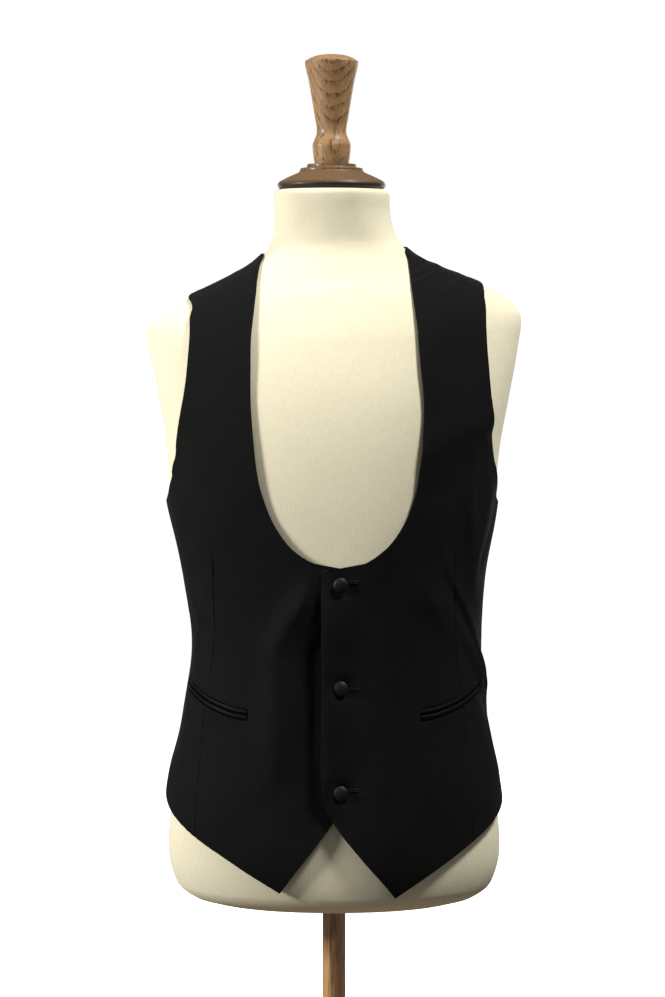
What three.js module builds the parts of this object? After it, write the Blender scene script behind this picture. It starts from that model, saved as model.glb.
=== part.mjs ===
// A black evening waistcoat with a deep U front, worn on a limbless dress form with a turned wooden neck cap,
// on a pole with a round wooden foot. Millimetres, +Z up. The front faces -Y and the wearer's left is +X.
// The origin is the middle of the foot's underside, on the surface it stands on.

import * as THREE from "three";

// Driving dimensions
const FORM_BOTTOM = 230; // underside of the torso above the floor
const NECK_TOP = 965; // middle of the plane that the neck cap sits on
const NECK_PITCH = THREE.MathUtils.degToRad(7); // that plane dips forward
const SHOULDER_TILT = 0.048; // rise of the shoulder line per unit of x: the wearer's left sits higher
const TILTED = { from: 760, full: 850, fading: 905, gone: 955 }; // the heights between which it acts
const PITCH_FROM = 895; // the neck starts to dip forward here
const FOOT_RADIUS = 165;
const FOOT_HEIGHT = 28;
const POLE_RADIUS = 12;

const FRONT_THICKNESS = 1.8; // wool, canvas and lining together
const BACK_THICKNESS = 1.3; // two layers of satin
const SEAM_GAP = 0.3; // between two pieces that are sewn together
const EASE = 2.8; // air between the form and the cloth
const REST = 0.9; // the same on the shoulders, which carry it
const RESTING = { from: 800, full: 862 }; // the heights between which the air closes up
const SHOULDER_SEAM = THREE.MathUtils.degToRad(6); // the seam lies this far behind the ridge

const BUTTON_RADIUS = 7.5;
const BUTTON_X = 6.5;
const BUTTON_HEIGHTS = [355.5, 457.5, 559.5];
const BUTTON_NAMES = ["button_bottom", "button_middle", "button_top"];
const JET_WIDTH = 4.7;
const JET_GAP = 0.7; // the pocket's mouth, between its two jets
const JET = { edge: 0.7, crown: 0.6, seat: 0.7, rows: 14, columns: 3 }; // edge and crown are thicknesses
const DART_GROOVE = { share: 0.008, depth: 0.9, topZ: 592 }; // share of the front's width on each side of it
const LAP = { gap: 0.6, reach: 74, fullX: 38 }; // how the left front rises over the edge of the right one

// How fine the meshes are
const FRONT_COLUMNS = 12;
const BACK_COLUMNS = 11;
const ROWS_PER_STEP = 2;
const SHOULDER_STEPS = 3; // the last steps, which bend over the shoulder, have more rows
const ROWS_PER_SHOULDER_STEP = 3;
const ROUND_STEPS = 1080; // for the table of distances round the form
const ROUND_LEVEL = 600;
const SMALL_SHARE = 0.01; // for a direction along a line
const TORSO_GRID = { sides: 48, rise: 34, neckZ: 885, neckRise: 8, crowding: 0.6 };

// The form, level by level: half its width, its reach in front of and behind its middle plane, how far that plane
// and its middle line are moved, and its squareness, where 2 is an ellipse and more is boxier.
const BODY_SECTIONS = [
  { z: 230, halfWidth: 130, front: 80, back: 86, middle: 0, sway: 0, squareness: 2.1 },
  { z: 235, halfWidth: 147, front: 93, back: 99, middle: 0, sway: 0, squareness: 2.15 },
  { z: 248, halfWidth: 163, front: 103, back: 109, middle: 0, sway: 0, squareness: 2.2 },
  { z: 285, halfWidth: 172, front: 108, back: 116, middle: 0, sway: 0, squareness: 2.25 },
  { z: 350, halfWidth: 165, front: 107, back: 112, middle: 0, sway: 0, squareness: 2.3 },
  { z: 420, halfWidth: 151.5, front: 106, back: 99, middle: 0, sway: 0.5, squareness: 2.3 },
  { z: 486, halfWidth: 142.5, front: 105, back: 89, middle: 0, sway: 2.5, squareness: 2.3 },
  { z: 560, halfWidth: 151, front: 110, back: 97, middle: 0, sway: 0.5, squareness: 2.3 },
  { z: 640, halfWidth: 167, front: 117, back: 109, middle: 0, sway: -1.5, squareness: 2.3 },
  { z: 700, halfWidth: 173, front: 119, back: 114, middle: 1, sway: -0.5, squareness: 2.3 },
  { z: 750, halfWidth: 182, front: 116, back: 114, middle: 3, sway: 0, squareness: 2.25 },
  { z: 800, halfWidth: 192, front: 107, back: 108, middle: 6, sway: 0, squareness: 2.1 },
  { z: 826, halfWidth: 195, front: 99, back: 102, middle: 8, sway: 0, squareness: 2 },
  { z: 843, halfWidth: 184, front: 92, back: 97, middle: 9, sway: 0, squareness: 1.95 },
  { z: 854, halfWidth: 166, front: 86, back: 92, middle: 9, sway: 0, squareness: 1.9 },
  { z: 862.5, halfWidth: 147, front: 80, back: 88, middle: 9, sway: 0, squareness: 1.9 },
  { z: 873.5, halfWidth: 121, front: 73, back: 82, middle: 8, sway: 0, squareness: 1.9 },
  { z: 883.5, halfWidth: 99, front: 67, back: 76, middle: 7, sway: 0, squareness: 1.95 },
  { z: 893, halfWidth: 83, front: 62, back: 71, middle: 6, sway: 0, squareness: 2 },
  { z: 904, halfWidth: 71, front: 58, back: 65, middle: 4, sway: 0, squareness: 2 },
  { z: 922, halfWidth: 63, front: 57, back: 61, middle: 2, sway: -0.5, squareness: 2 },
  { z: 942, halfWidth: 60.5, front: 57, back: 59, middle: 0, sway: -2, squareness: 2 },
  { z: 961, halfWidth: 60, front: 57, back: 58, middle: -2, sway: -2.5, squareness: 2 },
  { z: 965, halfWidth: 57.5, front: 55, back: 56, middle: -2, sway: -2.5, squareness: 2 },
];

// How the two fronts are cut, row by row from the hem to the shoulder. left and right are the wearer's.
// edge is the front edge and neckline, dart the line of the long dart and, above it, the middle of the strap,
// and outer the side seam and then the armhole. x is as seen from the front, counted outwards for dart and outer,
// and outerTurn is in degrees from the side. A row with neither lies on the side seam. Heights leave out the
// shoulders' tilt. The last row is on the shoulder seam, where only heights count.
const FRONT_ROWS = [
  { leftX: 60, leftZ: 250, rightX: -53.5, rightZ: 255, dartX: 138, dartZ: 300.5, outerZ: 343 },
  { leftX: 25.5, leftZ: 292, rightX: -27, rightZ: 291, dartX: 137, dartZ: 341, outerZ: 377 },
  { leftX: -1.5, leftZ: 328, rightX: 1.5, rightZ: 329, dartX: 134, dartZ: 384, outerZ: 412 },
  { leftX: -12, leftZ: 361, rightX: 22, rightZ: 362, dartX: 130, dartZ: 428, outerZ: 448 },
  { leftX: -12, leftZ: 430, rightX: 22, rightZ: 430, dartX: 123, dartZ: 475, outerZ: 490 },
  { leftX: -12, leftZ: 500, rightX: 22, rightZ: 500, dartX: 120, dartZ: 540, outerZ: 548 },
  { leftX: -12, leftZ: 573, rightX: 22, rightZ: 573, dartX: 120.5, dartZ: 592, outerZ: 597 },
  { leftX: 22, leftZ: 577, rightX: -11, rightZ: 577, dartX: 121, dartZ: 606, outerZ: 608 },
  { leftX: 50, leftZ: 594, rightX: -39, rightZ: 592, dartX: 122, dartZ: 620, outerZ: 619 },
  { leftX: 69, leftZ: 619, rightX: -59, rightZ: 618, dartX: 123, dartZ: 636, outerZ: 630 },
  { leftX: 80, leftZ: 648, rightX: -71, rightZ: 648, dartX: 123, dartZ: 652, outerZ: 641 },
  { leftX: 84, leftZ: 671, rightX: -76, rightZ: 671, dartX: 122.5, dartZ: 664, outerTurn: 10, outerZ: 646 },
  { leftX: 87, leftZ: 698, rightX: -79, rightZ: 698, dartX: 122, dartZ: 682, outerX: 167, outerZ: 659 },
  { leftX: 88.5, leftZ: 734, rightX: -82, rightZ: 734, dartX: 120, dartZ: 718, outerX: 160, outerZ: 700 },
  { leftX: 84.5, leftZ: 785, rightX: -82.5, rightZ: 785, dartX: 117, dartZ: 770, outerX: 154, outerZ: 752 },
  { leftX: 79, leftZ: 842, rightX: -79.5, rightZ: 842, dartX: 114, dartZ: 822, outerX: 150, outerZ: 802 },
  { leftX: 77, leftZ: 870, rightX: -78, rightZ: 870, dartX: 113, dartZ: 848, outerX: 150, outerZ: 832 },
  { leftX: 75.5, leftZ: 889, rightX: -76, rightZ: 889, dartX: 112.5, dartZ: 864, outerX: 149.5, outerZ: 850 },
  { leftX: 74.5, leftZ: 899, rightX: -74.5, rightZ: 899, dartX: 112.5, dartZ: 873.5, outerTurn: 3, outerZ: 863 },
  { leftZ: 903, rightZ: 903, dartZ: 877.5, outerZ: 865 },
];
const EDGE_CORNER = 6; // the row where the front edge meets the neckline
const UNDERARM = 10; // the row where the side seam meets the armhole
const RIGHT_HEM = { rise: 4.5, fullZ: 290, goneZ: 450 }; // it hangs this much higher at the dart and the side
const ARMHOLE_SHIFT = { x: 4, fromZ: 690, fullZ: 760 }; // both are worn this far to the wearer's left

// How each half of the back is cut, in the same terms. A row with no innerTurn lies on the centre seam, and
// innerTurn is in degrees from the side.
const BACK_ROWS = [
  { innerZ: 338, outerZ: 343 },
  { innerZ: 375, outerZ: 377 },
  { innerZ: 412, outerZ: 412 },
  { innerZ: 450, outerZ: 448 },
  { innerZ: 490, outerZ: 490 },
  { innerZ: 548, outerZ: 548 },
  { innerZ: 600, outerZ: 597 },
  { innerZ: 645, outerZ: 641 },
  { innerZ: 668, outerTurn: 5, outerZ: 646 },
  { innerZ: 695, outerX: 168, outerZ: 662 },
  { innerZ: 745, outerX: 163, outerZ: 708 },
  { innerZ: 800, outerX: 159, outerZ: 762 },
  { innerZ: 850, outerX: 156, outerZ: 812 },
  { innerZ: 890, outerX: 153, outerZ: 842 },
  { innerTurn: 48, innerZ: 896, outerX: 150, outerZ: 855 },
  { innerZ: 903, outerZ: 865 },
];
const BACK_NECK_CORNER = 13; // the row where the centre seam meets the back neckline
const BACK_UNDERARM = 7;

// The side seams, in degrees forward of the widest point, on the wearer's left and right.
const SIDE_SEAM = [
  { z: 343, left: 1, right: 0 },
  { z: 490, left: 3.5, right: 0 },
  { z: 597, left: 5.5, right: 1 },
  { z: 641, left: 5.5, right: 1 },
];

// The middle of each pocket's mouth, from its inner end to the side.
const POCKET_LINE = [
  { x: 86, z: 430 },
  { x: 101, z: 432 },
  { x: 116, z: 436.5 },
  { x: 128.5, z: 441.5 },
  { x: 140, z: 448.5 },
  { x: 148, z: 454.5 },
];

// Extra air under the cloth where it bridges the form's hollows: angle in degrees, 90 in front, 0 at the side
// and -90 behind.
const HOLLOWS = [
  { angle: -90, z: 480, reach: 75, height: 70, rise: 7 },
  { angle: -35, z: 470, reach: 40, height: 60, rise: 4 },
  { angle: 80, z: 300, reach: 60, height: 70, rise: 3 },
  { angle: 0, z: 350, reach: 45, height: 45, rise: 2 },
  { angle: -90, z: 345, reach: 80, height: 40, rise: 3 },
];

const CLOTH_PER_DEGREE = 2.3; // millimetres of cloth per degree round the body
const FOLD_FADE = 0.3; // how far a fold dies away past its ends, as a share of its length

// The largest folds. Each is a soft ridge, or a trough if rise is negative, from one place to another.
const FOLDS = [
  { side: 1, angle: 40, z: 535, toAngle: 14, toZ: 468, width: 13, rise: 3.2 },
  { side: 1, angle: 14, z: 468, toAngle: 12, toZ: 372, width: 13, rise: 2.2 },
  { side: 1, angle: 36, z: 560, toAngle: 26, toZ: 520, width: 14, rise: -2 },
  { side: 1, angle: 30, z: 660, toAngle: 34, toZ: 590, width: 12, rise: -1.8 },
  { side: 1, angle: 20, z: 640, toAngle: 22, toZ: 570, width: 9, rise: 1.8 },
  { side: -1, angle: 22, z: 560, toAngle: 26, toZ: 515, width: 14, rise: -2 },
  { side: -1, angle: 18, z: 690, toAngle: 34, toZ: 655, width: 9, rise: -1.8 },
  { side: -1, angle: 12, z: 455, toAngle: 10, toZ: 380, width: 16, rise: 1.6 },
  { side: 1, angle: -22, z: 506, toAngle: -68, toZ: 490, width: 15, rise: -2.6 },
  { side: -1, angle: -20, z: 500, toAngle: -64, toZ: 482, width: 15, rise: -2.6 },
  { side: 1, angle: -30, z: 640, toAngle: -50, toZ: 560, width: 15, rise: -2.2 },
  { side: -1, angle: -32, z: 645, toAngle: -48, toZ: 570, width: 15, rise: -2.2 },
];

const { clamp, degToRad, lerp, smoothstep } = THREE.MathUtils;

// A smooth curve through the values at the knots, read at t. Its slopes are those between the neighbours.
function smoothThrough(knots, values, t) {
  const last = knots.length - 1;
  const at = clamp(t, knots[0], knots[last]);
  let i = 0;
  while (i < last - 1 && at > knots[i + 1]) i++;
  const slope = (k) => {
    const a = Math.max(k - 1, 0);
    const b = Math.min(k + 1, last);
    return (values[b] - values[a]) / (knots[b] - knots[a]);
  };
  const width = knots[i + 1] - knots[i];
  const s = (at - knots[i]) / width;
  const rise = values[i + 1] - values[i];
  const from = slope(i) * width;
  const to = slope(i + 1) * width;
  return values[i] + s * (from + s * (3 * rise - 2 * from - to + s * (from + to - 2 * rise)));
}

const columnOf = (rows, name) => rows.map((row) => row[name]);
const SECTION_HEIGHTS = columnOf(BODY_SECTIONS, "z");
const SECTION_COLUMNS = Object.fromEntries(
  ["halfWidth", "front", "back", "middle", "sway", "squareness"].map((name) => [name, columnOf(BODY_SECTIONS, name)]),
);
const sectionAt = (name, z) => smoothThrough(SECTION_HEIGHTS, SECTION_COLUMNS[name], z);

function shoulderRise(x, z) {
  return x * SHOULDER_TILT * smoothstep(z, TILTED.from, TILTED.full) * (1 - smoothstep(z, TILTED.fading, TILTED.gone));
}

// The form's surface at an angle round it and a height. Angle 0 is the wearer's left, and -90 degrees the front.
function bodyPoint(angle, z) {
  const cos = Math.cos(angle);
  const sin = Math.sin(angle);
  const depth = sectionAt(sin < 0 ? "front" : "back", z);
  const n = sectionAt("squareness", z);
  const across = Math.abs(cos) / sectionAt("halfWidth", z);
  const along = Math.abs(sin) / depth;
  const radius = (across ** n + along ** n) ** (-1 / n);
  const x = sectionAt("sway", z) + radius * cos;
  const y = sectionAt("middle", z) + radius * sin;
  const pitch = Math.tan(NECK_PITCH) * smoothstep(z, PITCH_FROM, NECK_TOP);
  return new THREE.Vector3(x, y, z + shoulderRise(x, z) + y * pitch);
}

// A point that far out from the form, square to its surface.
function offsetPoint(angle, z, distance) {
  const turn = 0.01;
  const step = 1;
  const round = bodyPoint(angle + turn, z).sub(bodyPoint(angle - turn, z));
  const up = bodyPoint(angle, z + step).sub(bodyPoint(angle, z - step));
  return bodyPoint(angle, z).addScaledVector(round.cross(up).normalize(), distance);
}

// Degrees forward of the side, 90 in front and -90 behind, and the side, 1 for the wearer's left.
function sideAngle(angle) {
  const side = Math.cos(angle) < 0 ? -1 : 1;
  const forward = THREE.MathUtils.radToDeg(Math.atan2(-Math.sin(angle), Math.abs(Math.cos(angle))));
  return { side, forward };
}

// The height of one fold at a place: a bell across it, which dies away past both its ends.
function foldHeight(fold, forward, z) {
  const dx = (fold.toAngle - fold.angle) * CLOTH_PER_DEGREE;
  const dz = fold.toZ - fold.z;
  const px = (forward - fold.angle) * CLOTH_PER_DEGREE;
  const pz = z - fold.z;
  const length = Math.hypot(dx, dz);
  const along = (px * dx + pz * dz) / length;
  const across = (px * dz - pz * dx) / length;
  const past = Math.max(-along, along - length, 0);
  const fade = length * FOLD_FADE;
  return fold.rise * Math.exp(-((across / fold.width) ** 2) - (past / fade) ** 2);
}

// The air between the form and the cloth, which rests on the shoulders.
function airUnder(angle, z) {
  const { side, forward } = sideAngle(angle);
  let air = lerp(EASE, REST, smoothstep(z, RESTING.from, RESTING.full));
  for (const hollow of HOLLOWS) {
    const across = (forward - hollow.angle) / hollow.reach;
    air += hollow.rise * Math.exp(-(across ** 2) - ((z - hollow.z) / hollow.height) ** 2);
  }
  for (const fold of FOLDS) {
    if (fold.side === side) air += foldHeight(fold, forward, z);
  }
  return Math.max(air, REST);
}

// The extra air under the wearer's left front, where it laps over the right one.
function lapLift(angle, z) {
  const across = LAP.reach - bodyPoint(angle, z).x;
  return (FRONT_THICKNESS + LAP.gap) * smoothstep(across, 0, LAP.reach - LAP.fullX);
}

// The place on the form whose cloth shows at x and z from straight in front, or from behind if facing is 1.
// The height leaves out the shoulders' tilt.
function placeSeenAt(x, z, facing) {
  const target = { x, z: z + shoulderRise(x, z) };
  const guess = { x, z };
  let place;
  for (let turn = 0; turn < 8; turn++) {
    const half = sectionAt("halfWidth", guess.z);
    const depth = sectionAt(facing < 0 ? "front" : "back", guess.z);
    const n = sectionAt("squareness", guess.z);
    const fromMiddle = guess.x - sectionAt("sway", guess.z);
    const across = clamp(Math.abs(fromMiddle) / half, 0, 0.9995);
    const y = facing * depth * (1 - across ** n) ** (1 / n);
    place = { angle: Math.atan2(y, Math.sign(fromMiddle) * across * half), z: guess.z };
    const cloth = offsetPoint(place.angle, place.z, airUnder(place.angle, place.z) + FRONT_THICKNESS);
    guess.x += target.x - cloth.x;
    guess.z += target.z - cloth.z;
  }
  return place;
}

// Distances round the form at one level, where it is neither its widest nor its narrowest. The panels' lines are
// drawn on this distance and the height, so that a straight cut stays straight on the cloth.
const roundTable = [{ angle: -Math.PI, round: 0 }];
for (let i = 1; i <= ROUND_STEPS; i++) {
  const angle = -Math.PI + (3 * Math.PI * i) / ROUND_STEPS;
  const before = roundTable[i - 1];
  const length = bodyPoint(angle, ROUND_LEVEL).distanceTo(bodyPoint(before.angle, ROUND_LEVEL));
  roundTable.push({ angle, round: before.round + length });
}

// Reads one column of that table where another has a value. Both columns only rise.
function readTable(known, value, wanted) {
  let low = 0;
  let high = ROUND_STEPS;
  while (high - low > 1) {
    const middle = Math.floor((low + high) / 2);
    if (roundTable[middle][known] <= value) low = middle;
    else high = middle;
  }
  const share = (value - roundTable[low][known]) / (roundTable[high][known] - roundTable[low][known]);
  return lerp(roundTable[low][wanted], roundTable[high][wanted], share);
}

// The side seam at a height, moved forward by gap.
function sideSeamPlace(side, z, gap) {
  const degrees = smoothThrough(columnOf(SIDE_SEAM, "z"), columnOf(SIDE_SEAM, side > 0 ? "left" : "right"), z);
  return turnedFromSide(side, degToRad(degrees) + gap / sectionAt("halfWidth", z), z);
}

// The shoulder seam at a height, moved forward by gap.
function shoulderSeamPlace(side, z, gap) {
  return turnedFromSide(side, -SHOULDER_SEAM + gap / sectionAt("halfWidth", z), z);
}

function turnedFromSide(side, forward, z) {
  return { angle: side > 0 ? -forward : Math.PI + forward, z };
}

// A place by its distance round the form. The wearer's right side runs on past the back, so it never jumps.
function onCloth(side, place) {
  const angle = side < 0 && place.angle < 0 ? place.angle + 2 * Math.PI : place.angle;
  return { round: readTable("angle", angle, "round"), z: place.z };
}

// A height near the hem of that side
function hung(side, z) {
  return side > 0 ? z : z + RIGHT_HEM.rise * (1 - smoothstep(z, RIGHT_HEM.fullZ, RIGHT_HEM.goneZ));
}

// Where a row of either table ends at the side seam or the armhole
function outerPlace(side, row, facing) {
  if (row.outerTurn) return turnedFromSide(side, -facing * degToRad(row.outerTurn), row.outerZ);
  if (!row.outerX) return sideSeamPlace(side, hung(side, row.outerZ), (-facing * SEAM_GAP) / 2);
  const shift = ARMHOLE_SHIFT.x * smoothstep(row.outerZ, ARMHOLE_SHIFT.fromZ, ARMHOLE_SHIFT.fullZ);
  return placeSeenAt(side * row.outerX + shift, row.outerZ, facing);
}

// The lines that a front's rows run through: edge, dart and outer
function frontLines(side) {
  const [edgeX, edgeZ] = side > 0 ? ["leftX", "leftZ"] : ["rightX", "rightZ"];
  return FRONT_ROWS.map((row) => {
    const onSeam = row.dartX === undefined;
    const places = onSeam
      ? [row[edgeZ], row.dartZ, row.outerZ].map((z) => shoulderSeamPlace(side, z, SEAM_GAP / 2))
      : [
          placeSeenAt(row[edgeX], row[edgeZ], -1),
          placeSeenAt(side * row.dartX, hung(side, row.dartZ), -1),
          outerPlace(side, row, -1),
        ];
    return places.map((place) => onCloth(side, place));
  });
}

// The lines that a back's rows run through: inner and outer
function backLines(side) {
  const last = BACK_ROWS.length - 1;
  return BACK_ROWS.map((row, i) => {
    const fromCentre = Math.PI / 2 - SEAM_GAP / 2 / sectionAt("back", row.innerZ);
    const turn = row.innerTurn ? degToRad(row.innerTurn) : fromCentre;
    const places =
      i === last
        ? [row.innerZ, row.outerZ].map((z) => shoulderSeamPlace(side, z, -SEAM_GAP / 2))
        : [turnedFromSide(side, -turn, row.innerZ), outerPlace(side, row, 1)];
    return places.map((place) => onCloth(side, place));
  });
}

// A line through the places of one column, smooth on each side of its corner, read at row t.
function alongLine(lines, column, corner, t) {
  const from = t <= corner ? 0 : corner;
  const to = t <= corner ? corner : lines.length - 1;
  const stretch = lines.slice(from, to + 1).map((row) => row[column]);
  const knots = stretch.map((place, i) => from + i);
  return {
    round: smoothThrough(knots, columnOf(stretch, "round"), t),
    z: smoothThrough(knots, columnOf(stretch, "z"), t),
  };
}

// The place at row t and share u of the way across, on a smooth curve through the lines' places.
function acrossLines(lines, corners, shares, t, u) {
  const places = corners.map((corner, column) => alongLine(lines, column, corner, t));
  const round = smoothThrough(shares, columnOf(places, "round"), u);
  return {
    angle: readTable("round", round, "angle"),
    z: smoothThrough(shares, columnOf(places, "z"), u),
  };
}

// A mesh from points and faces, turned so that its faces point out.
function closedGeometry(points, faces) {
  const cross = new THREE.Vector3();
  let volume = 0;
  for (const [a, b, c] of faces) volume += points[a].dot(cross.crossVectors(points[b], points[c]));
  const outward = volume > 0 ? faces : faces.map(([a, b, c]) => [a, c, b]);
  const geometry = new THREE.BufferGeometry();
  geometry.setAttribute("position", new THREE.Float32BufferAttribute(points.flatMap((p) => p.toArray()), 3));
  geometry.setIndex(outward.flat());
  geometry.computeVertexNormals();
  return geometry;
}

// A wall between two skins on one grid: skin 0 is its inside and skin 1 its outside.
function wallGeometry(rows, columns, pointAt) {
  const points = [];
  for (let skin = 0; skin < 2; skin++) {
    for (let row = 0; row < rows; row++) {
      for (let column = 0; column < columns; column++) points.push(pointAt(row, column, skin));
    }
  }
  const at = (skin, row, column) => (skin * rows + row) * columns + column;
  const faces = [];
  const quad = (a, b, c, d) => faces.push([a, b, c], [a, c, d]);
  for (let row = 0; row < rows - 1; row++) {
    for (let column = 0; column < columns - 1; column++) {
      quad(at(1, row, column), at(1, row, column + 1), at(1, row + 1, column + 1), at(1, row + 1, column));
      quad(at(0, row, column), at(0, row + 1, column), at(0, row + 1, column + 1), at(0, row, column + 1));
    }
    quad(at(0, row, 0), at(1, row, 0), at(1, row + 1, 0), at(0, row + 1, 0));
    const side = columns - 1;
    quad(at(0, row, side), at(0, row + 1, side), at(1, row + 1, side), at(1, row, side));
  }
  for (let column = 0; column < columns - 1; column++) {
    const top = rows - 1;
    quad(at(0, 0, column), at(0, 0, column + 1), at(1, 0, column + 1), at(1, 0, column));
    quad(at(0, top, column), at(1, top, column), at(1, top, column + 1), at(0, top, column + 1));
  }
  return closedGeometry(points, faces);
}

const group = new THREE.Group();

function addMesh(parent, name, geometry, material) {
  const mesh = new THREE.Mesh(geometry, material);
  mesh.name = name;
  parent.add(mesh);
  return mesh;
}

const finish = (color, roughness, metalness = 0) => new THREE.MeshStandardMaterial({ color, roughness, metalness });
const wool = finish(0x141414, 0.9);
const satin = finish(0x24241f, 0.45);
const jersey = finish(0xd8cfb6, 0.85);
const wood = finish(0x8a6a42, 0.35);

const evenly = (count) => Array.from({ length: count + 1 }, (value, i) => i / count);

// Where a panel's mesh has its rows, counted in steps between the rows of its table
function meshRows(steps) {
  const rows = [0];
  for (let step = 0; step < steps; step++) {
    const count = step < steps - SHOULDER_STEPS ? ROWS_PER_STEP : ROWS_PER_SHOULDER_STEP;
    for (const share of evenly(count).slice(1)) rows.push(step + share);
  }
  return rows;
}

// The two fronts
const DART_SHARE = 0.5;
const frontShares = [0, DART_SHARE, 1];
const frontColumns = evenly(FRONT_COLUMNS).flatMap((u) =>
  u === DART_SHARE ? [u - DART_GROOVE.share, u, u + DART_GROOVE.share] : [u],
);

function frontAir(side, angle, z) {
  return airUnder(angle, z) + (side > 0 ? lapLift(angle, z) : 0);
}

for (const side of [1, -1]) {
  const lines = frontLines(side);
  const corners = [EDGE_CORNER, FRONT_ROWS.length - 1, UNDERARM];
  const rows = meshRows(FRONT_ROWS.length - 1);
  const pointAt = (row, column, skin) => {
    const u = frontColumns[column];
    const { angle, z } = acrossLines(lines, corners, frontShares, rows[row], u);
    const inGroove = u === DART_SHARE && z < DART_GROOVE.topZ ? DART_GROOVE.depth : 0;
    const thickness = skin * (FRONT_THICKNESS - inGroove);
    return offsetPoint(angle, z, frontAir(side, angle, z) + thickness);
  };
  const name = side > 0 ? "front_left" : "front_right";
  addMesh(group, name, wallGeometry(rows.length, frontColumns.length, pointAt), wool);
}

// The two halves of the back
const backShares = [0, 1];
const backColumns = evenly(BACK_COLUMNS);
for (const side of [1, -1]) {
  const lines = backLines(side);
  const corners = [BACK_NECK_CORNER, BACK_UNDERARM];
  const rows = meshRows(BACK_ROWS.length - 1);
  const pointAt = (row, column, skin) => {
    const { angle, z } = acrossLines(lines, corners, backShares, rows[row], backColumns[column]);
    return offsetPoint(angle, z, airUnder(angle, z) + skin * BACK_THICKNESS);
  };
  const name = side > 0 ? "back_left" : "back_right";
  addMesh(group, name, wallGeometry(rows.length, backColumns.length, pointAt), satin);
}

// A point on the outside of a front, raised by height, with the surface's outward direction there
function onFront(side, x, z, height) {
  const place = placeSeenAt(x, z, -1);
  const reach = frontAir(side, place.angle, place.z) + FRONT_THICKNESS;
  const point = offsetPoint(place.angle, place.z, reach + height);
  const outward = offsetPoint(place.angle, place.z, reach + height + 1).sub(point);
  return { point, outward };
}

// The pockets: two jets each, with their backs flat on the front and rounded outsides
for (const side of [1, -1]) {
  const distances = columnOf(POCKET_LINE, "x");
  const heights = columnOf(POCKET_LINE, "z");
  const mouthAt = (share) => {
    const x = lerp(distances[0], distances[distances.length - 1], share);
    return onFront(side, side * x, smoothThrough(distances, heights, x), JET.seat);
  };
  for (const upward of [1, -1]) {
    const profile = evenly(JET.columns);
    const pointAt = (row, column, skin) => {
      const share = row / JET.rows;
      const { point, outward } = mouthAt(share);
      const ahead = Math.min(share + SMALL_SHARE, 1);
      const behind = Math.max(share - SMALL_SHARE, 0);
      const along = mouthAt(ahead).point.sub(mouthAt(behind).point);
      const upSurface = outward.clone().cross(along).multiplyScalar(side * upward).normalize();
      point.addScaledVector(upSurface, JET_GAP / 2 + profile[column] * JET_WIDTH);
      const thickness = JET.edge + JET.crown * Math.sin(Math.PI * profile[column]);
      return onFront(side, point.x, point.z, JET.seat + skin * thickness).point;
    };
    const name = `pocket_${side > 0 ? "left" : "right"}_${upward > 0 ? "upper" : "lower"}_jet`;
    addMesh(group, name, wallGeometry(JET.rows + 1, JET.columns + 1, pointAt), satin);
  }
}

// The buttons: a cloth-covered dome with a rounded rim, on a short shank
const buttonProfile = [
  { r: 0, z: 0 },
  { r: 2.4, z: 0 },
  { r: 2.4, z: 1.5 },
  { r: BUTTON_RADIUS - 1.2, z: 1.7 },
  { r: BUTTON_RADIUS - 0.3, z: 2.3 },
  { r: BUTTON_RADIUS, z: 3.1 },
  { r: BUTTON_RADIUS - 0.5, z: 3.9 },
  { r: BUTTON_RADIUS - 2.2, z: 4.7 },
  { r: BUTTON_RADIUS - 4.6, z: 5.2 },
  { r: 0, z: 5.4 },
];
const latheAxis = new THREE.Vector3(0, 1, 0);
const latheGeometry = (profile, sidesRound) =>
  new THREE.LatheGeometry(
    profile.map(({ r, z }) => new THREE.Vector2(r, z)),
    sidesRound,
  );
for (const [i, height] of BUTTON_HEIGHTS.entries()) {
  const { point, outward } = onFront(1, BUTTON_X, height, SEAM_GAP);
  const button = addMesh(group, BUTTON_NAMES[i], latheGeometry(buttonProfile, 16), satin);
  button.quaternion.setFromUnitVectors(latheAxis, outward.normalize());
  button.position.copy(point);
}

// The form's torso, in rings that lie closest together at the shoulders
const ringHeights = BODY_SECTIONS.flatMap(({ z }, i) => {
  if (i === 0) return [z];
  const below = BODY_SECTIONS[i - 1].z;
  const steps = Math.ceil((z - below) / (z > TORSO_GRID.neckZ ? TORSO_GRID.neckRise : TORSO_GRID.rise));
  return evenly(steps)
    .slice(1)
    .map((share) => lerp(below, z, share));
});
const ringAngles = evenly(TORSO_GRID.sides)
  .slice(1)
  .map((share) => 2 * Math.PI * share - 0.5 * TORSO_GRID.crowding * Math.sin(4 * Math.PI * share));
const torsoPoints = ringHeights.flatMap((z) => ringAngles.map((angle) => bodyPoint(angle, z)));
const torsoFaces = [];
const sides = ringAngles.length;
for (let ring = 0; ring < ringHeights.length - 1; ring++) {
  for (let i = 0; i < sides; i++) {
    const a = ring * sides + i;
    const b = ring * sides + ((i + 1) % sides);
    torsoFaces.push([a, b, b + sides], [a, b + sides, a + sides]);
  }
}
const top = (ringHeights.length - 1) * sides;
const bottomMiddle = torsoPoints.push(new THREE.Vector3(0, 0, FORM_BOTTOM)) - 1;
const topMiddle = torsoPoints.push(new THREE.Vector3(0, 0, NECK_TOP)) - 1;
for (let i = 0; i < sides; i++) {
  const next = (i + 1) % sides;
  torsoFaces.push([bottomMiddle, next, i], [topMiddle, top + i, top + next]);
}
addMesh(group, "form_torso", closedGeometry(torsoPoints, torsoFaces), jersey);

// Turned pieces, from the radius and height of each bend in their outline
function turned(parent, name, profile, sidesRound) {
  const mesh = addMesh(parent, name, latheGeometry(profile, sidesRound), wood);
  mesh.rotation.x = Math.PI / 2; // a lathe turns about Y
  return mesh;
}

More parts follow.
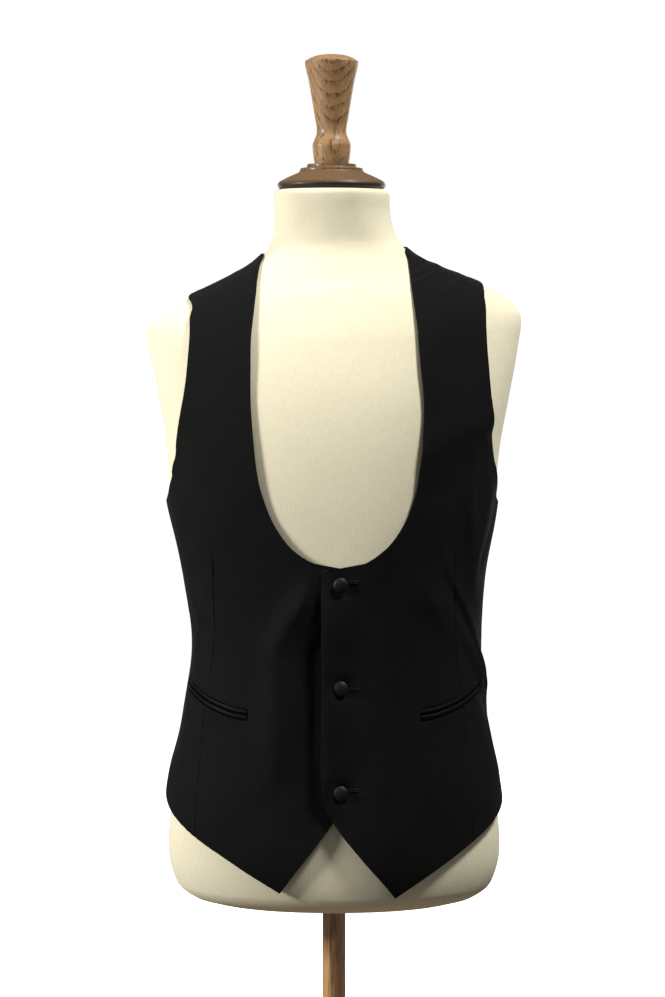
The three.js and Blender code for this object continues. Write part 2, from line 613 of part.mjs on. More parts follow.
// The neck cap and its knob lean forward with the neck's top
const neck = new THREE.Group();
neck.position.set(sectionAt("sway", NECK_TOP), 0, NECK_TOP);
neck.rotation.x = NECK_PITCH;
group.add(neck);
const cap = [
  { r: 0, z: 0 },
  { r: 55.4, z: 0 },
  { r: 56.5, z: 1.2 },
  { r: 56.5, z: 4.8 },
  { r: 55.6, z: 7 },
  { r: 53.6, z: 9 },
  { r: 45, z: 13.4 },
  { r: 34.6, z: 17.8 },
  { r: 33, z: 19.4 },
  { r: 33, z: 21.6 },
  { r: 31.5, z: 22.4 },
  { r: 26.2, z: 22.9 },
  { r: 25.7, z: 24 },
  { r: 25.7, z: 26.4 },
  { r: 0, z: 26.4 },
];
const knob = [
  { r: 0, z: 0 },
  { r: 17.7, z: 0 },
  { r: 19.2, z: 5 },
  { r: 20, z: 12 },
  { r: 19.8, z: 18 },
  { r: 18, z: 25 },
  { r: 15.8, z: 30 },
  { r: 15.3, z: 33.5 },
  { r: 15.9, z: 40 },
  { r: 17.3, z: 46 },
  { r: 20.3, z: 64.5 },
  { r: 23.4, z: 83 },
  { r: 27.3, z: 98 },
  { r: 27.8, z: 102.5 },
  { r: 26.6, z: 106.5 },
  { r: 20, z: 109.5 },
  { r: 10, z: 111.1 },
  { r: 0, z: 111.5 },
];
turned(neck, "neck_cap", cap, 32).position.z = SEAM_GAP;
turned(neck, "knob", knob, 24).position.z = 2 * SEAM_GAP + cap[cap.length - 1].z;

// The pole and the foot
const pole = [
  { r: 0, z: FOOT_HEIGHT + SEAM_GAP },
  { r: POLE_RADIUS, z: FOOT_HEIGHT + SEAM_GAP },
  { r: POLE_RADIUS, z: FORM_BOTTOM - SEAM_GAP },
  { r: 0, z: FORM_BOTTOM - SEAM_GAP },
];
const foot = [
  { r: 0, z: 0 },
  { r: FOOT_RADIUS - 2, z: 0 },
  { r: FOOT_RADIUS, z: 2 },
  { r: FOOT_RADIUS, z: 11 },
  { r: FOOT_RADIUS - 2.5, z: 15 },
  { r: FOOT_RADIUS - 10, z: 17.5 },
  { r: FOOT_RADIUS - 14, z: 21 },
  { r: FOOT_RADIUS - 24, z: 24.5 },
  { r: 46, z: 25 },
  { r: 40, z: FOOT_HEIGHT },
  { r: 0, z: FOOT_HEIGHT },
];
turned(group, "pole", pole, 24);
turned(group, "foot", foot, 40);

export default group;
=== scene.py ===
# A black evening waistcoat with a deep U front, on a limbless dress form, dressed over its solid frame.
# Sizes are in millimetres and become metres as each mesh is made, unless a note says metres.
# The front faces -Y and the wearer's left is +X.

import math

import bpy
import numpy as np
from mathutils.bvhtree import BVHTree
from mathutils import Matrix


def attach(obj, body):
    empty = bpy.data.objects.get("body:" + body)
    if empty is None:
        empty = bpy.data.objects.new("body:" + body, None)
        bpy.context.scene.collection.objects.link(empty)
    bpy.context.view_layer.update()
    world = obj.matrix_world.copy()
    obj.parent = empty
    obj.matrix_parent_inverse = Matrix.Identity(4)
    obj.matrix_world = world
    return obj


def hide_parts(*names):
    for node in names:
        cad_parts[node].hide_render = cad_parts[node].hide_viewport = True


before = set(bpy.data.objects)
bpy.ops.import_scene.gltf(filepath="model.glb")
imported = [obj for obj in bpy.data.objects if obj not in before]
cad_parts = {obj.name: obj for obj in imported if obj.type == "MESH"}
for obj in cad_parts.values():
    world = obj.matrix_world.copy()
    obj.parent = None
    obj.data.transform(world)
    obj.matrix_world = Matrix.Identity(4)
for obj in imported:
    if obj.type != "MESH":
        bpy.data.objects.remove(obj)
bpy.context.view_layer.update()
scene = bpy.context.scene
millimetre = 0.001

# Camera: level, at the height of the chest

camera = {
    "place": (-0.0016, -1.9, 0.644),  # metres
    "lens": 65.86,  # millimetres, for the 36 mm long side
}


def addCamera():
    data = bpy.data.cameras.new("camera")
    data.sensor_width = 36
    data.lens = camera["lens"]
    made = bpy.data.objects.new("camera", data)
    made.location = camera["place"]
    made.rotation_euler = (math.radians(90), 0, 0)
    scene.collection.objects.link(made)
    scene.camera = made


addCamera()
print("camera made")

# Small tools: tables, smooth curves and meshes


def tableOf(names, rows):  # named columns of numbers
    return dict(zip(names.split(), np.array(rows, float).T))


def rowsIn(table):  # each row of a table, as named numbers
    return [dict(zip(table, row)) for row in zip(*table.values())]


def smoothstep(x, low, high):  # 3 s^2 - 2 s^3, with s from 0 at low to 1 at high
    s = np.clip((x - low) / (high - low), 0, 1)
    return s * s * (3 - 2 * s)


def between(x, low, lowFull, highFull, high):  # 1 in the middle, eased to 0 at both ends
    return smoothstep(x, low, lowFull) * (1 - smoothstep(x, highFull, high))


def bell(x, width):  # 1 at 0, and down on both sides: e^-(x / width)^2
    return np.exp(-((x / width) ** 2))


def smoothThrough(knots, values, t):
    # a cubic between each two knots, and at each knot the slope between its two neighbours;
    # values is one row for all of t, or one row for each row of t
    knots = np.asarray(knots, float)
    values = np.asarray(values, float)
    last = len(knots) - 1
    lower = np.maximum(np.arange(last + 1) - 1, 0)
    upper = np.minimum(np.arange(last + 1) + 1, last)
    slopes = (values[..., upper] - values[..., lower]) / (knots[upper] - knots[lower])
    at = np.clip(t, knots[0], knots[-1])
    i = np.clip(np.searchsorted(knots, at, side="right") - 1, 0, last - 1)

    def pick(row, k):
        return row[k] if row.ndim == 1 else np.take_along_axis(row, k, 1)

    width = knots[i + 1] - knots[i]
    s = (at - knots[i]) / width
    start = pick(values, i)
    rise = pick(values, i + 1) - start
    a = pick(slopes, i) * width
    b = pick(slopes, i + 1) * width
    return start + s * (a + s * (3 * rise - 2 * a - b + s * (a + b - 2 * rise)))


def lengthAlong(points, axis):  # distance covered from the first point, along one axis of a grid
    steps = np.linalg.norm(np.diff(points, axis=axis), axis=-1)
    pad = [(0, 0)] * steps.ndim
    pad[axis] = (1, 0)
    return np.pad(np.cumsum(steps, axis=axis), pad)


def unit(vectors):
    return vectors / np.linalg.norm(vectors, axis=-1, keepdims=True)


def crowded(length, count, atStart, atEnd):
    # distances along a line: as listed by its two ends, and evenly between them
    length = np.asarray(length, float)[..., None]
    atStart = np.asarray(atStart, float)
    atEnd = np.asarray(atEnd, float)
    evenly = np.linspace(0, 1, count)
    middle = atStart[-1] + (length - atStart[-1] - atEnd[-1]) * evenly
    shape = length.shape[:-1] + (1,)
    first = np.ones(shape) * atStart[:-1]
    last = length - atEnd[:-1][::-1]
    return np.concatenate([first, middle, last], -1)


def gridQuads(index):  # the faces between the neighbours on a grid of vertex numbers
    a, b = index[:-1, :-1], index[:-1, 1:]
    c, d = index[1:, 1:], index[1:, :-1]
    return np.stack([a, b, c, d], -1).reshape(-1, 4)


def twoSkins(outer, inner, flat):
    # the points, faces and UVs of two grids that share their boundary
    rows, columns = outer.shape[:2]
    index = np.arange(rows * columns).reshape(rows, columns)
    innerIndex = index.copy()
    hidden = np.arange((rows - 2) * (columns - 2)).reshape(rows - 2, -1)
    innerIndex[1:-1, 1:-1] = rows * columns + hidden
    points = np.concatenate([outer.reshape(-1, 3), inner[1:-1, 1:-1].reshape(-1, 3)])
    uv = np.concatenate([flat.reshape(-1, 2), flat[1:-1, 1:-1].reshape(-1, 2)])
    return points, [gridQuads(index), gridQuads(innerIndex)[:, ::-1]], uv


def makeMesh(name, points, faces, material, uv=None):
    # points and uv in millimetres; faces is a list of arrays, turned together so that they point out:
    # six times the volume inside is the sum of a . (b x c) over their triangles
    volume = 0
    for array in faces:
        for k in range(1, array.shape[1] - 1):
            a, b, c = (points[array[:, i]] for i in (0, k, k + 1))
            volume += np.einsum("ij,ij->i", a, np.cross(b, c)).sum()
    if volume < 0:
        faces = [array[:, ::-1] for array in faces]
    mesh = bpy.data.meshes.new(name)
    corners = [face for array in faces for face in array.tolist()]
    mesh.from_pydata((points * millimetre).tolist(), [], corners)
    mesh.polygons.foreach_set("use_smooth", np.ones(len(mesh.polygons), bool))
    if uv is not None:
        vertex = np.zeros(len(mesh.loops), np.int32)
        mesh.loops.foreach_get("vertex_index", vertex)
        layer = mesh.uv_layers.new(name="cloth")
        layer.uv.foreach_set("vector", (uv[vertex] * millimetre).ravel())
    mesh.materials.append(material)
    mesh.update()
    made = bpy.data.objects.new(name, mesh)
    scene.collection.objects.link(made)
    return made


# Materials

colours = {  # linear
    "woolDark": (0.0034, 0.0034, 0.0034, 1),
    "woolLight": (0.0064, 0.0063, 0.006, 1),
    "satinDark": (0.0045, 0.0045, 0.0041, 1),
    "satinLight": (0.0095, 0.0095, 0.0084, 1),
    "jerseyLight": (0.66, 0.603, 0.438, 1),
    "jerseyDark": (0.575, 0.523, 0.37, 1),
    "woodLight": (0.3, 0.17, 0.075, 1),
    "woodMiddle": (0.19, 0.104, 0.043, 1),
    "woodDark": (0.06, 0.031, 0.013, 1),
    "poleLight": (0.46, 0.255, 0.104, 1),
    "poleDark": (0.1, 0.052, 0.021, 1),
    "capLight": (0.135, 0.076, 0.033, 1),
    # near black: painted shade in the ditches along the pocket jets and at their tacks
    "seamShade": (0.0002, 0.0002, 0.0002, 1),
    # painted shade for the lower rim of the neck cap
    "rimShade": (0.014, 0.01, 0.008, 1),
    "stage": (0.86, 0.86, 0.86, 1),
}


def addNode(tree, kind, inputs=None, **settings):
    # a node with its settings, and with its inputs linked to sockets or set to constants
    node = tree.nodes.new(kind)
    for key, value in settings.items():
        setattr(node, key, value)
    for key, value in (inputs or {}).items():
        if isinstance(value, bpy.types.NodeSocket):
            tree.links.new(value, node.inputs[key])
        else:
            node.inputs[key].default_value = value
    return node


def calc(tree, operation, a, b=0.0):
    return addNode(tree, "ShaderNodeMath", {0: a, 1: b}, operation=operation).outputs[0]


def times(tree, a, b):
    return calc(tree, "MULTIPLY", a, b)


def remap(tree, value, fromLow, fromHigh, toLow, toHigh):
    limits = {"From Min": fromLow, "From Max": fromHigh, "To Min": toLow, "To Max": toHigh}
    return addNode(tree, "ShaderNodeMapRange", {"Value": value, **limits}).outputs["Result"]


def mixColours(tree, share, a, b):
    return addNode(tree, "ShaderNodeMix", {0: share, 6: a, 7: b}, data_type="RGBA").outputs[2]


def noiseOf(tree, vector, scale, detail, stretch=(1, 1, 1)):
    # noise that is drawn out along the axes where stretch is small
    drawn = addNode(tree, "ShaderNodeVectorMath", {0: vector, 1: stretch}, operation="MULTIPLY")
    inputs = {"Vector": drawn.outputs[0], "Scale": scale, "Detail": detail}
    return addNode(tree, "ShaderNodeTexNoise", inputs).outputs["Fac"]


def newGroup(name, inputs, outputs):
    tree = bpy.data.node_groups.new(name, "ShaderNodeTree")
    for key, value in inputs.items():
        kind = "NodeSocketVector" if value is None else "NodeSocketFloat"
        socket = tree.interface.new_socket(key, in_out="INPUT", socket_type=kind)
        if value is not None:
            socket.default_value = value
    for key in outputs:
        tree.interface.new_socket(key, in_out="OUTPUT", socket_type="NodeSocketFloat")
    return tree, tree.nodes.new("NodeGroupInput"), tree.nodes.new("NodeGroupOutput")


yarn = {
    "scale": 3000.0,
    "stretches": ((0.35, 0.035, 1), (0.035, 0.35, 1)),  # along the warp and along the weft
    "weight": 0.43,
    "patchWeight": 0.14,
    "shades": (0.36, 0.66),  # the noise's usual ends
    "relief": 1.5,
}


def clothThreadsGroup():
    # warp and weft are sines of the two UV directions, and the twill is a sine of both together;
    # Shade is uneven yarn: noise drawn out both ways, with larger patches
    inputs = {"Vector": None, "Warp": 2000.0, "Weft": 2000.0, "Diagonal": 0.5, "Patch": 30.0}
    tree, given, result = newGroup("clothThreads", inputs, ["Height", "Shade"])
    vector = given.outputs["Vector"]
    share = given.outputs["Diagonal"]
    split = addNode(tree, "ShaderNodeSeparateXYZ", {0: vector})
    across = times(tree, split.outputs[0], given.outputs["Warp"])
    along = times(tree, split.outputs[1], given.outputs["Weft"])
    warp, weft, twill = (
        calc(tree, "SINE", times(tree, turns, 2 * math.pi))
        for turns in (across, along, calc(tree, "ADD", across, along))
    )
    plain = times(tree, times(tree, warp, weft), calc(tree, "SUBTRACT", 1.0, share))
    tree.links.new(calc(tree, "ADD", plain, times(tree, twill, share)), result.inputs["Height"])
    yarns = [noiseOf(tree, vector, yarn["scale"], 2.0, stretch) for stretch in yarn["stretches"]]
    uneven = times(tree, calc(tree, "ADD", *yarns), yarn["weight"])
    patches = noiseOf(tree, vector, given.outputs["Patch"], 3.0)
    shade = calc(tree, "ADD", uneven, times(tree, patches, yarn["patchWeight"]))
    tree.links.new(shade, result.inputs["Shade"])
    return tree


grain = {
    "waveScale": 38.0,
    "waveStretch": (1, 1, 0.3),
    "rise": 1.5,
    "drop": (0.88, 1.0),  # shares of a ring
    "fibreScale": 480.0,
    "fibreStretch": (1, 1, 0.07),
    "fibreEnds": (0.36, 0.62, 0.3, 1.3),
    "poreScale": 900.0,
    "poreStretch": (1, 1, 0.045),
    "poreEnds": (0.5, 0.68, 0.0, 1.0),
    "poreWeight": 0.55,
    "late": (0.45, 0.95, 0.0, 0.75),  # where the dark tone comes in, and how far
    "relief": -0.08,
}


def woodGrainGroup():
    # growth rings about the Z axis of Vector, wavy with noise: the ring count is radius times Rings;
    # Grain runs slowly up, drops sharply at each ring and is broken by fibres along Z, and Pore is
    # finer streaks along Z
    inputs = {"Vector": None, "Rings": 200.0, "Waviness": 0.004}
    tree, given, result = newGroup("woodGrain", inputs, ["Grain", "Pore"])
    vector = given.outputs["Vector"]
    wave = noiseOf(tree, vector, grain["waveScale"], 2.0, grain["waveStretch"])
    split = addNode(tree, "ShaderNodeSeparateXYZ", {0: vector})
    squares = [times(tree, split.outputs[k], split.outputs[k]) for k in (0, 1)]
    radius = calc(tree, "SQRT", calc(tree, "ADD", *squares))
    wavy = calc(tree, "ADD", radius, times(tree, wave, given.outputs["Waviness"]))
    part = calc(tree, "FRACT", times(tree, wavy, given.outputs["Rings"]))
    dropping = remap(tree, part, *grain["drop"], 1.0, 0.0)
    rings = times(tree, calc(tree, "POWER", part, grain["rise"]), dropping)
    fibre = noiseOf(tree, vector, grain["fibreScale"], 4.0, grain["fibreStretch"])
    broken = times(tree, rings, remap(tree, fibre, *grain["fibreEnds"]))
    tree.links.new(broken, result.inputs["Grain"])
    pores = noiseOf(tree, vector, grain["poreScale"], 3.0, grain["poreStretch"])
    tree.links.new(remap(tree, pores, *grain["poreEnds"]), result.inputs["Pore"])
    return tree


clothThreads = clothThreadsGroup()
woodGrain = woodGrainGroup()


def newMaterial(name, constants):
    # a Principled BSDF with its constants on its own sockets
    material = bpy.data.materials.new(name)
    material.use_nodes = True
    tree = material.node_tree
    shader = tree.nodes["Principled BSDF"]
    for key, value in constants.items():
        shader.inputs[key].default_value = value
    return material, tree, shader


def feed(tree, shader, colour, rough, height=None, distance=0.0):
    # the shader's colour and roughness, and a bump where there is a height
    tree.links.new(colour, shader.inputs["Base Color"])
    tree.links.new(rough, shader.inputs["Roughness"])
    if height is not None:
        relief = addNode(tree, "ShaderNodeBump", {"Height": height, "Distance": distance, "Strength": 1.0})
        tree.links.new(relief.outputs["Normal"], shader.inputs["Normal"])


clothGloss = ("Specular IOR Level", "Sheen Weight", "Sheen Roughness")
woodGloss = ("Specular IOR Level", "Coat Weight", "Coat Roughness")
weaveInputs = ("Warp", "Weft", "Diagonal", "Patch")


def clothMaterial(name, tones, gloss, weave, bump, roughness):
    # yarn shade mixes the two tones and the roughness, and the weave gives the bump, in millimetres
    material, tree, shader = newMaterial(name, dict(zip(clothGloss, gloss)))
    uv = addNode(tree, "ShaderNodeUVMap", uv_map="cloth").outputs["UV"]
    inputs = {"Vector": uv, **dict(zip(weaveInputs, weave))}
    threads = addNode(tree, "ShaderNodeGroup", inputs, node_tree=clothThreads)
    share = remap(tree, threads.outputs["Shade"], *yarn["shades"], 0.0, 1.0)
    colour = mixColours(tree, share, colours[tones[0]], colours[tones[1]])
    rough = remap(tree, share, 0.0, 1.0, *roughness)
    height = calc(tree, "ADD", threads.outputs["Height"], times(tree, share, yarn["relief"]))
    feed(tree, shader, colour, rough, height, bump * millimetre)
    return material


def woodMaterial(name, tones, gloss, place, turn, rings, roughness):
    # the grain shades from the light tone over the middle one to the dark, and the pores add dark streaks;
    # the rings lie round a line through place, turned about Y
    material, tree, shader = newMaterial(name, dict(zip(woodGloss, gloss)))
    dark, middle, light = (colours[tone] for tone in tones)
    source = addNode(tree, "ShaderNodeTexCoord").outputs["Object"]
    inputs = {"Vector": source, "Location": place, "Rotation": (0, turn, 0)}
    mapped = addNode(tree, "ShaderNodeMapping", inputs, vector_type="TEXTURE").outputs["Vector"]
    inputs = {"Vector": mapped, "Rings": rings[0], "Waviness": rings[1]}
    made = addNode(tree, "ShaderNodeGroup", inputs, node_tree=woodGrain)
    base = mixColours(tree, made.outputs["Grain"], light, middle)
    shaded = mixColours(tree, remap(tree, made.outputs["Grain"], *grain["late"]), base, dark)
    pore = times(tree, made.outputs["Pore"], grain["poreWeight"])
    rough = remap(tree, pore, 0.0, 1.0, *roughness)
    feed(tree, shader, mixColours(tree, pore, shaded, dark), rough, pore, grain["relief"] * millimetre)
    return material


def threadMaterial(name, tones, gloss):
    # fine noise mixes the two tones and the roughness
    material, tree, shader = newMaterial(name, dict(zip(clothGloss, gloss)))
    source = addNode(tree, "ShaderNodeTexCoord").outputs["Object"]
    noise = noiseOf(tree, source, 2500.0, 2.0)
    colour = mixColours(tree, noise, colours[tones[0]], colours[tones[1]])
    feed(tree, shader, colour, remap(tree, noise, 0.0, 1.0, 0.4, 0.6))
    return material


def paintShadeBelow(material, normal, height, depth, full):
    # painted shade: darkens the colour below a plane, where a point's height is its share along the plane's
    # normal
    tree = material.node_tree
    shader = tree.nodes["Principled BSDF"]
    source = addNode(tree, "ShaderNodeTexCoord").outputs["Object"]
    along = addNode(tree, "ShaderNodeVectorMath", {0: source, 1: normal}, operation="DOT_PRODUCT")
    share = remap(tree, along.outputs["Value"], height - depth, height, full, 0.0)
    plain = shader.inputs["Base Color"].links[0].from_socket
    tree.links.new(mixColours(tree, share, plain, colours["rimShade"]), shader.inputs["Base Color"])


# Cloths: tones, gloss, weave, bump and roughness, each in the order of its names above
black = ("woolDark", "woolLight")
shiny = ("satinDark", "satinLight")
cream = ("jerseyDark", "jerseyLight")
wool = clothMaterial("wool", black, (0.045, 0.014, 0.4), (1500, 1100, 0.65, 45), 0.035, (0.78, 0.92))
satin = clothMaterial("satin", shiny, (0.2, 0.01, 0.3), (3200, 900, 0.2, 25), 0.008, (0.36, 0.5))
jetSatin = clothMaterial("jetSatin", black, (0.024, 0.004, 0.3), (3200, 900, 0.2, 60), 0.008, (0.4, 0.54))
coveredCloth = clothMaterial(
    "coveredCloth", black, (0.15, 0.006, 0.4), (1500, 1500, 0.35, 200), 0.02, (0.44, 0.56)
)
jersey = clothMaterial("jersey", cream, (0.2, 0.1, 0.5), (750, 950, 0.1, 12), 0.05, (0.82, 0.94))
blackThread = threadMaterial("blackThread", shiny, (0.07, 0.012, 0.4))
# near-black thread for the pocket seams and tacks, which paints the shade in the ditches round the jets
shadeThread = threadMaterial("shadeThread", ("seamShade", "woolDark"), (0.0,))

# Woods: tones, gloss, place and turn of the rings' line, rings a metre with their waviness, roughness
varnish = (0.22, 0.1, 0.2)
knobTones = ("woodDark", "woodMiddle", "woodLight")
capTones = ("woodDark", "woodDark", "capLight")
poleTones = ("poleDark", "poleDark", "poleLight")
footTones = ("woodMiddle", "woodMiddle", "poleLight")
lying = math.radians(90)
turnedWood = woodMaterial(
    "turnedWood", knobTones, varnish, (-0.003, 0.014, 0), 0, (250, 0.011), (0.5, 0.72)
)
capWood = woodMaterial("capWood", capTones, varnish, (0.006, 0.09, 0), 0, (420, 0.009), (0.5, 0.72))
# the rings' middle stands 59 mm off the pole at +X, with 60 rings a metre, so that seen from the front the
# grain lays a light strip on the pole's -X edge, a dark band beside it and lighter wood beyond: a painted
# highlight and dark reflection
poleWood = woodMaterial("poleWood", poleTones, (0.5, 0.9, 0.07), (0.059, 0, 0), 0, (60, 0.003), (0.3, 0.45))
footWood = woodMaterial(
    "footWood", footTones, (0.3, 0.4, 0.15), (0, 0.012, -0.085), lying, (130, 0.012), (0.4, 0.55)
)
print("materials made")

# The form: a superellipse at each height

body = {
    "neckTop": 965,
    "neckPitch": math.radians(7),  # the neck's top dips forward
    "pitchFrom": 895,
    "shoulderTilt": 0.048,  # the wearer's left shoulder sits higher
    "tiltFrom": 760,
    "tiltFull": 850,
    "tiltFading": 905,
    "tiltGone": 955,
    "bottom": 230,
}
bodySections = tableOf("z halfWidth front back middle sway squareness", [
    (230, 130, 80, 86, 0, 0, 2.1),
    (235, 147, 93, 99, 0, 0, 2.15),
    (248, 163, 103, 109, 0, 0, 2.2),
    (285, 172, 108, 116, 0, 0, 2.25),
    (350, 165, 107, 112, 0, 0, 2.3),
    (420, 151.5, 106, 99, 0, 0.5, 2.3),
    (486, 142.5, 105, 89, 0, 2.5, 2.3),
    (560, 151, 110, 97, 0, 0.5, 2.3),
    (640, 167, 117, 109, 0, -1.5, 2.3),
    (700, 173, 119, 114, 1, -0.5, 2.3),
    (750, 182, 116, 114, 3, 0, 2.25),
    (800, 192, 107, 108, 6, 0, 2.1),
    (826, 195, 99, 102, 8, 0, 2),
    (843, 184, 92, 97, 9, 0, 1.95),
    (854, 166, 86, 92, 9, 0, 1.9),
    (862.5, 147, 80, 88, 9, 0, 1.9),
    (873.5, 121, 73, 82, 8, 0, 1.9),
    (883.5, 99, 67, 76, 7, 0, 1.95),
    (893, 83, 62, 71, 6, 0, 2),
    (904, 71, 58, 65, 4, 0, 2),
    (922, 63, 57, 61, 2, -0.5, 2),
    (942, 60.5, 57, 59, 0, -2, 2),
    (961, 60, 57, 58, -2, -2.5, 2),
    (965, 57.5, 55, 56, -2, -2.5, 2),
])


def sectionAt(name, z):
    return smoothThrough(bodySections["z"], bodySections[name], z)


def shoulderRise(x, z):  # x times the tilt, between the heights where it acts
    coming = smoothstep(z, body["tiltFrom"], body["tiltFull"])
    going = 1 - smoothstep(z, body["tiltFading"], body["tiltGone"])
    return x * body["shoulderTilt"] * coming * going


def bodyPoint(angle, z):
    # radius = ((|cos| / halfWidth)^n + (|sin| / depth)^n)^(-1/n), round a centre at sway and middle
    angle, z = np.broadcast_arrays(np.asarray(angle, float), np.asarray(z, float))
    cos = np.cos(angle)
    sin = np.sin(angle)
    depth = np.where(sin < 0, sectionAt("front", z), sectionAt("back", z))
    n = sectionAt("squareness", z)
    wide = np.abs(cos) / sectionAt("halfWidth", z)
    radius = (wide**n + (np.abs(sin) / depth) ** n) ** (-1 / n)
    x = sectionAt("sway", z) + radius * cos
    y = sectionAt("middle", z) + radius * sin
    pitch = math.tan(body["neckPitch"]) * smoothstep(z, body["pitchFrom"], body["neckTop"])
    return np.stack([x, y, z + shoulderRise(x, z) + y * pitch], -1)


def bodyNormal(angle, z):  # the direction round times the direction up
    turn = 0.01
    step = 1
    around = bodyPoint(angle + turn, z) - bodyPoint(angle - turn, z)
    up = bodyPoint(angle, z + step) - bodyPoint(angle, z - step)
    return unit(np.cross(around, up))


# The air under the cloth: eased off the form, bridging its hollows, with folds and creases

cloth = {
    "frontThickness": 1.8,
    "backThickness": 1.3,
    "ease": 2.8,
    "rest": 0.9,
    "restFrom": 800,
    "restFull": 862,
    "lapGap": 0.6,
    "lapReach": 74,
    "lapFull": 38,
    "perDegree": 2.3,  # round the form, for folds
    "perRadian": 131.79,  # and for ripples
    "foldFade": 0.3,  # how far a fold dies away past its ends, as a share of its length
    "seamOverlap": 0.1,  # two sewn edges run this far into each other, down in their groove
}
# degrees forward of the side: 90 in front, -90 behind
hollows = tableOf("angle z reach height rise", [
    (-90, 480, 75, 70, 7),
    (-35, 470, 40, 60, 4),
    (80, 300, 60, 70, 3),
    (0, 350, 45, 45, 2),
    (-90, 345, 80, 40, 3),
])
# side 1 is the wearer's left; bow bends a fold sideways, lean makes one flank wider
folds = tableOf("side angle z toAngle toZ width rise bow lean", [
    (1, 40, 535, 14, 468, 13, 3.2, 0, 0),
    (1, 14, 468, 12, 372, 13, 2.2, 0, 0),
    (1, 36, 560, 26, 520, 14, -2, 0, 0),
    (1, 30, 660, 34, 590, 12, -1.8, 0, 0),
    (1, 20, 640, 22, 570, 9, 1.8, 0, 0),
    (-1, 22, 560, 26, 515, 14, -2, 0, 0),
    (-1, 18, 690, 34, 655, 9, -1.8, 0, 0),
    (-1, 12, 455, 10, 380, 16, 1.6, 0, 0),
    (1, -22, 506, -68, 490, 15, -2.6, 0, 0),
    (-1, -20, 500, -64, 482, 15, -2.6, 0, 0),
    (1, -30, 640, -50, 560, 15, -2.2, 0, 0),
    (-1, -32, 645, -48, 570, 15, -2.2, 0, 0),
    # creases by the wearer's left underarm
    (1, 50, 690, 25, 722, 14, 2.4, 3, 0.2),
    (1, 44, 652, 19, 690, 13, -2.6, 2, 0),
    (1, 20, 705, 25, 648, 10, -2.4, 3, 0.3),
    (1, 29, 672, 27, 604, 6.5, 2.3, -3, 0.2),
    (1, 36, 650, 35, 604, 7, -2.0, 2, 0),
    (1, 9, 668, 21, 696, 5.5, 1.8, 1, 0.3),
    (1, 12, 640, 17, 588, 7, -1.6, 2, 0),
    # the ridge from the wearer's left dart to the pocket's end, and down the side
    (1, 30, 545, 9, 457, 5, 2.6, 4, 0.5),
    (1, 35, 522, 15, 446, 8, -2.0, 3, 0),
    (1, 8, 446, 10, 374, 5.5, 1.1, -2, 0.4),
    (1, 17, 500, 6, 476, 5, -0.9, 1, 0),
    # the wearer's left shoulder
    (1, 16, 884, 33, 868, 2.0, 1.1, 0.5, 0.2),
    (1, 12, 877, 37, 859, 2.3, 1.3, 0.6, 0.3),
    (1, 9, 868, 27, 852, 2.4, 0.9, 0.6, 0.3),
    (-1, 10, 880, 30, 866, 2.4, 0.6, 0.5, 0.2),
    # the wearer's right underarm, waist and side
    (-1, 11, 673, 25, 660, 5, -1.3, 1, 0.3),
    (-1, 13, 686, 27, 675, 5, 0.9, 1, 0),
    (-1, 10, 550, 18, 508, 6, -1.1, 2, 0.2),
    (-1, 25, 545, 15, 500, 6, 1.1, -2, 0.2),
    (-1, 8, 420, 14, 360, 8, -0.9, 2, 0),
    (-1, 30, 640, 38, 600, 9, -0.9, 2, 0),
    # the back: drag from the armholes to the small of the back, and slack above the hem
    (1, -16, 655, -42, 600, 7, 1.5, 4, 0.4),
    (-1, -14, 660, -38, 612, 7, 1.4, 3, 0.4),
    (1, -28, 560, -64, 534, 7, 1.6, 4, 0.5),
    (-1, -24, 552, -58, 522, 8, 1.7, 5, 0.5),
    (1, -14, 520, -52, 505, 6, 1.5, 3, 0.3),
    (-1, -10, 524, -40, 506, 6, 1.4, 3, 0.3),
    (1, -48, 470, -76, 452, 8, 1.6, 3, 0.4),
    (-1, -50, 462, -78, 446, 8, 1.5, 3, 0.4),
    (1, -30, 430, -34, 352, 12, 1.7, 5, 0.2),
    (-1, -36, 436, -38, 350, 13, 1.6, -5, 0.2),
    (1, -60, 424, -62, 346, 11, -1.3, 3, 0),
    (-1, -64, 420, -66, 348, 11, -1.3, -3, 0),
    (1, -58, 740, -66, 640, 13, -1.2, 5, 0),
    (-1, -60, 742, -70, 636, 13, -1.2, -5, 0),
    (1, -40, 790, -34, 716, 8, 0.9, 3, 0.3),
    (-1, -42, 796, -36, 720, 8, 0.9, 3, 0.3),
])
# slow uneven waves over all the cloth: lengths round and up, turn of phase, height
ripples = tableOf("round up phase rise", [
    (173, 97, 0.4, 0.28),
    (-91, 141, 2.1, 0.22),
    (67, -119, 4.0, 0.16),
    (-53, 71, 1.1, 0.1),
])


def foldHeights(forward, side, z):
    # each fold is a bell across its line, which dies away past both its ends
    total = np.zeros(z.shape)
    for fold in rowsIn(folds):
        dx = (fold["toAngle"] - fold["angle"]) * cloth["perDegree"]
        dz = fold["toZ"] - fold["z"]
        px = (forward - fold["angle"]) * cloth["perDegree"]
        pz = z - fold["z"]
        length = math.hypot(dx, dz)
        along = (px * dx + pz * dz) / length
        across = (px * dz - pz * dx) / length
        share = np.clip(along / length, 0, 1)
        across = across - fold["bow"] * 4 * share * (1 - share)
        width = fold["width"] * (1 + fold["lean"] * np.tanh(across / fold["width"]))
        past = np.maximum(np.maximum(-along, along - length), 0)
        ridge = fold["rise"] * bell(across, width) * bell(past, length * cloth["foldFade"])
        total += np.where(side == fold["side"], ridge, 0)
    return total


